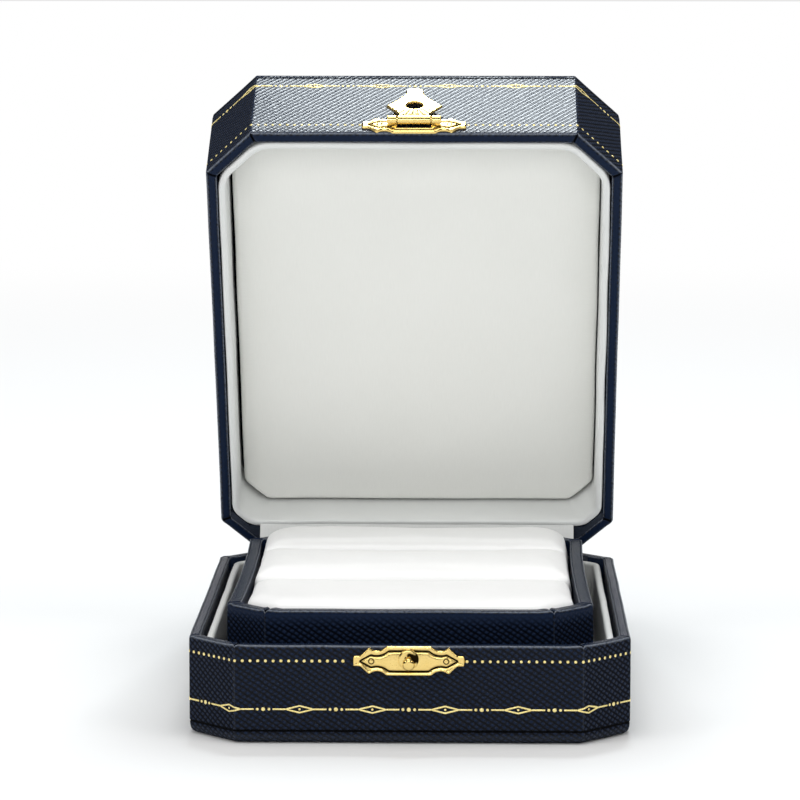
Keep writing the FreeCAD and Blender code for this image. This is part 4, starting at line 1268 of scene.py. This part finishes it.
def add_dot(skin, distance, height, radius):
    """Small domed dot of foil."""
    turns = [math.tau * k / DOT_SIDES for k in range(DOT_SIDES)]
    rim, shoulder = (
        skin.add_points([TRAIL.at(distance + size * math.cos(t), height + size * math.sin(t), proud)
                         for t in turns])
        for size, proud in ((radius, SUNK), (radius * 0.8, PROUD * 0.8)))
    top = skin.add_points([TRAIL.at(distance, height, PROUD)])[0]
    for k, m in around(DOT_SIDES):
        skin.flat_face((rim[k], rim[m], shoulder[m], shoulder[k]))
        skin.flat_face((shoulder[k], shoulder[m], top))


def add_line(skin, path, closed=False):
    """Raised ribbon of foil along (distance, height) points."""
    longest = 0.3
    points = [Vector(p) for p in path]
    dense = []
    for a, b in zip(points, points[1:] + (points[:1] if closed else [])):
        dense += between(a, b, max(1, int((b - a).length / longest)))
    if not closed:
        dense.append(points[-1])
    rows = []
    last = len(dense) - 1
    for k, here in enumerate(dense):
        before = dense[k - 1] if closed or k else here
        after = dense[(k + 1) % len(dense)] if closed or k < last else here
        along = (after - before).normalized()
        side = Vector((-along.y, along.x)) * LINE_WIDTH / 2
        section = ((-1.0, SUNK), (-0.7, PROUD), (0.0, PROUD * 1.2), (0.7, PROUD), (1.0, SUNK))
        rows.append(skin.add_points([TRAIL.at(here.x + side.x * w, here.y + side.y * w, up)
                                     for w, up in section]))
    for j, i in around(len(rows)) if closed else around(len(rows))[:-1]:
        for k in range(4):
            skin.flat_face((rows[j][k], rows[i][k], rows[i][k + 1], rows[j][k + 1]))


def add_border(skin, height):
    """Traditional tooled border: long open lozenges joined by a fine line with beads."""
    half_long, half_high = 2.5, 0.62
    count = int(TRAIL.half * 2 / BORDER_PITCH)
    pitch = TRAIL.half * 2 / count
    for number in range(count):
        centre = (number - count / 2 + 0.5) * pitch
        add_line(skin, [(centre - half_long, height), (centre, height + half_high),
                        (centre + half_long, height), (centre, height - half_high)], closed=True)
        add_dot(skin, centre, height, 0.24)
        for side in (-1, 1):
            tip, stop = centre + side * half_long, centre + side * (pitch / 2 - 1.7)
            add_line(skin, sorted([(tip, height), (stop, height)]))
            add_dot(skin, centre + side * (pitch / 2 - 1.05), height, 0.30)
        add_dot(skin, centre + pitch / 2, height, 0.42)


def make_tooling(body, dot_height, border_height, plate_from, plate_to):
    """A row of dots, which stops at the plate, and a border above or below it."""
    skin = Skin()
    count = int(TRAIL.half / DOT_PITCH)
    for number in range(-count, count + 1):
        distance = (number + 0.5) * DOT_PITCH
        if not plate_from < distance < plate_to and abs(distance) < TRAIL.half - 0.3:
            add_dot(skin, distance, dot_height, DOT_RADIUS)
    add_border(skin, border_height)
    dress(skin.make(body + "_gold_tooling", FOIL, body), body, "gilt_brass")


make_tooling("base", BASE_RIM - 2.85, BASE_RIM - 11.65, -11.0, 10.3)
make_tooling("lid", LID_RIM + 3.25, LID_RIM + 18.4, -10.3, 10.3)

# ---- Cover cloth over the hinge ----
CLOTH_HALF = 32.0
CLOTH_TUCK = 2.4
CLOTH_COLUMNS = 64


def make_cover_cloth():
    """Sheet from behind the base lining, over its rim and the lid lining's, to behind that."""
    low_edge = Vector((0, 42.7, LINING_HIGH.z))
    high_edge = LID_OPEN @ Vector((0, 41.8, LID_RIM))
    deeper = (LID_OPEN.to_3x3() @ Vector((0, LEAN, 1))).normalized()
    route = [low_edge + Vector((0, 0.9, -CLOTH_TUCK)), low_edge + Vector((0, 0.75, -0.2)),
             low_edge + Vector((0, 0.2, 0.3)), low_edge.lerp(high_edge, 0.5) + Vector((0, 0.25, 0)),
             high_edge + Vector((0, 0.1, -0.1)), high_edge + deeper * 0.6 + Vector((0, 0.7, 0)),
             high_edge + deeper * CLOTH_TUCK + Vector((0, 0.9, 0))]
    profile = [p for a, b in zip(route, route[1:]) for p in between(a, b, 4)] + route[-1:]
    across = [2 * CLOTH_HALF * column / CLOTH_COLUMNS for column in range(CLOTH_COLUMNS + 1)]
    skin = Skin()
    rows = [skin.add_points([Vector((u - CLOTH_HALF, p.y, p.z)) for p in profile]) for u in across]
    down = lengths(profile, False)
    for a, b, u, v in zip(rows, rows[1:], across, across[1:]):
        for k in range(len(profile) - 1):
            skin.add_face((a[k], a[k + 1], b[k + 1], b[k]),
                          ((u, down[k]), (u, down[k + 1]), (v, down[k + 1]), (v, down[k])))
    obj = skin.make("hinge_cover_cloth_sheet", CLOTH, "base", lambda p: wobble(p, 0.12, 6.0, 4.0))
    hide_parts("hinge_cover_cloth")
    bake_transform(obj)


make_cover_cloth()

# ---- Studio; lamps and camera are placed in metres ----


def make_floor():
    """Pale floor that fades to white away from the box, where it is seen or mirrored."""
    finish = Finish("studio_floor", Base_Color=(0.70, 0.70, 0.70), Roughness=0.9, Specular_IOR_Level=0.0)
    path = finish.node("ShaderNodeLightPath").outputs
    seen = path["Is Camera Ray"]
    for kind in ("Is Glossy Ray", "Is Transmission Ray"):
        seen = finish.plus(seen, path[kind], clamp=True)
    place = finish.node("ShaderNodeTexCoord").outputs["Object"]
    away = finish.spread(finish.vector("LENGTH", place, output="Value"), 0.16, 0.9)
    white = finish.node("ShaderNodeEmission", {"Strength": 1.0, "Color": (1, 1, 1)}).outputs[0]
    mixed = finish.cross(finish.times(seen, away), finish.shader.outputs[0], white)
    finish.feed(finish.tree.nodes["Material Output"].inputs["Surface"], mixed)
    size, low = 6000, -0.02
    skin = Skin()
    skin.flat_face(skin.add_points([Vector((x * size, y * size, low))
                                    for x, y in ((-1, -1), (1, -1), (1, 1), (-1, 1))]))
    skin.make("studio_floor", finish.material, "base")


def make_world():
    """Pale grey to the camera, grey light elsewhere; mirrors see it bright only low behind."""
    world = bpy.data.worlds.new("studio")
    bpy.context.scene.world = world
    world.use_nodes = True
    world.node_tree.nodes.clear()
    nodes = Nodes(world.node_tree)
    path = nodes.node("ShaderNodeLightPath").outputs
    place = nodes.node("ShaderNodeTexCoord").outputs["Generated"]
    split = nodes.node("ShaderNodeSeparateXYZ", {0: place}).outputs
    behind = nodes.spread(split["Y"], -0.6, 0.5, 0.03, 1.0)
    low_down = nodes.spread(split["Z"], 0.12, 0.34, 1.0, 0.08)
    shine = nodes.times(behind, low_down)
    room, shiny, pale = (nodes.node("ShaderNodeBackground", {"Strength": strength}).outputs[0]
                         for strength in (0.60, shine, 1.0))
    lit = nodes.cross(path["Is Glossy Ray"], room, shiny)
    seen = nodes.cross(path["Is Camera Ray"], lit, pale)
    nodes.node("ShaderNodeOutputWorld", {0: seen})


def make_lamp(name, place, target_z, width, height, power, tint=(1.0, 1.0, 1.0)):
    """Rectangular lamp that points at a height on the box's middle line."""
    light = bpy.data.lights.new(name, "AREA")
    light.shape, light.size, light.size_y = "RECTANGLE", width, height
    light.energy, light.color = power, tint
    lamp = add_object(name, light)
    lamp.location = place
    aim = Vector((0, 0, target_z)) - Vector(place)
    lamp.rotation_euler = aim.to_track_quat("-Z", "Y").to_euler()


def make_camera():
    """The camera that was fitted to the photograph."""
    camera = bpy.data.cameras.new("camera")
    camera.sensor_width, camera.lens = 36.0, 163.6
    holder = add_object("camera", camera)
    holder.location = (0.01101, -0.6878, 0.1464)
    holder.rotation_euler = (math.radians(90 - 7.513), 0.0, math.radians(1.13))
    bpy.context.scene.camera = holder


make_floor()
make_world()
make_lamp("back_top", (0.03, 0.555, 0.955), 0.10, 0.27, 0.22, 6.5, (0.90, 0.97, 1.0))
make_lamp("overhead", (0.0, -0.08, 1.10), 0.02, 0.60, 0.50, 4.15)
make_lamp("front_fill", (-0.10, -1.30, 0.50), 0.05, 0.8, 0.5, 4.6)
for name, x in (("left", -0.80), ("right", 0.80)):
    make_lamp(name, (x, -0.45, 0.75), 0.03, 0.40, 0.40, 2.2)
make_camera()
bpy.context.scene.view_settings.view_transform = "Standard"
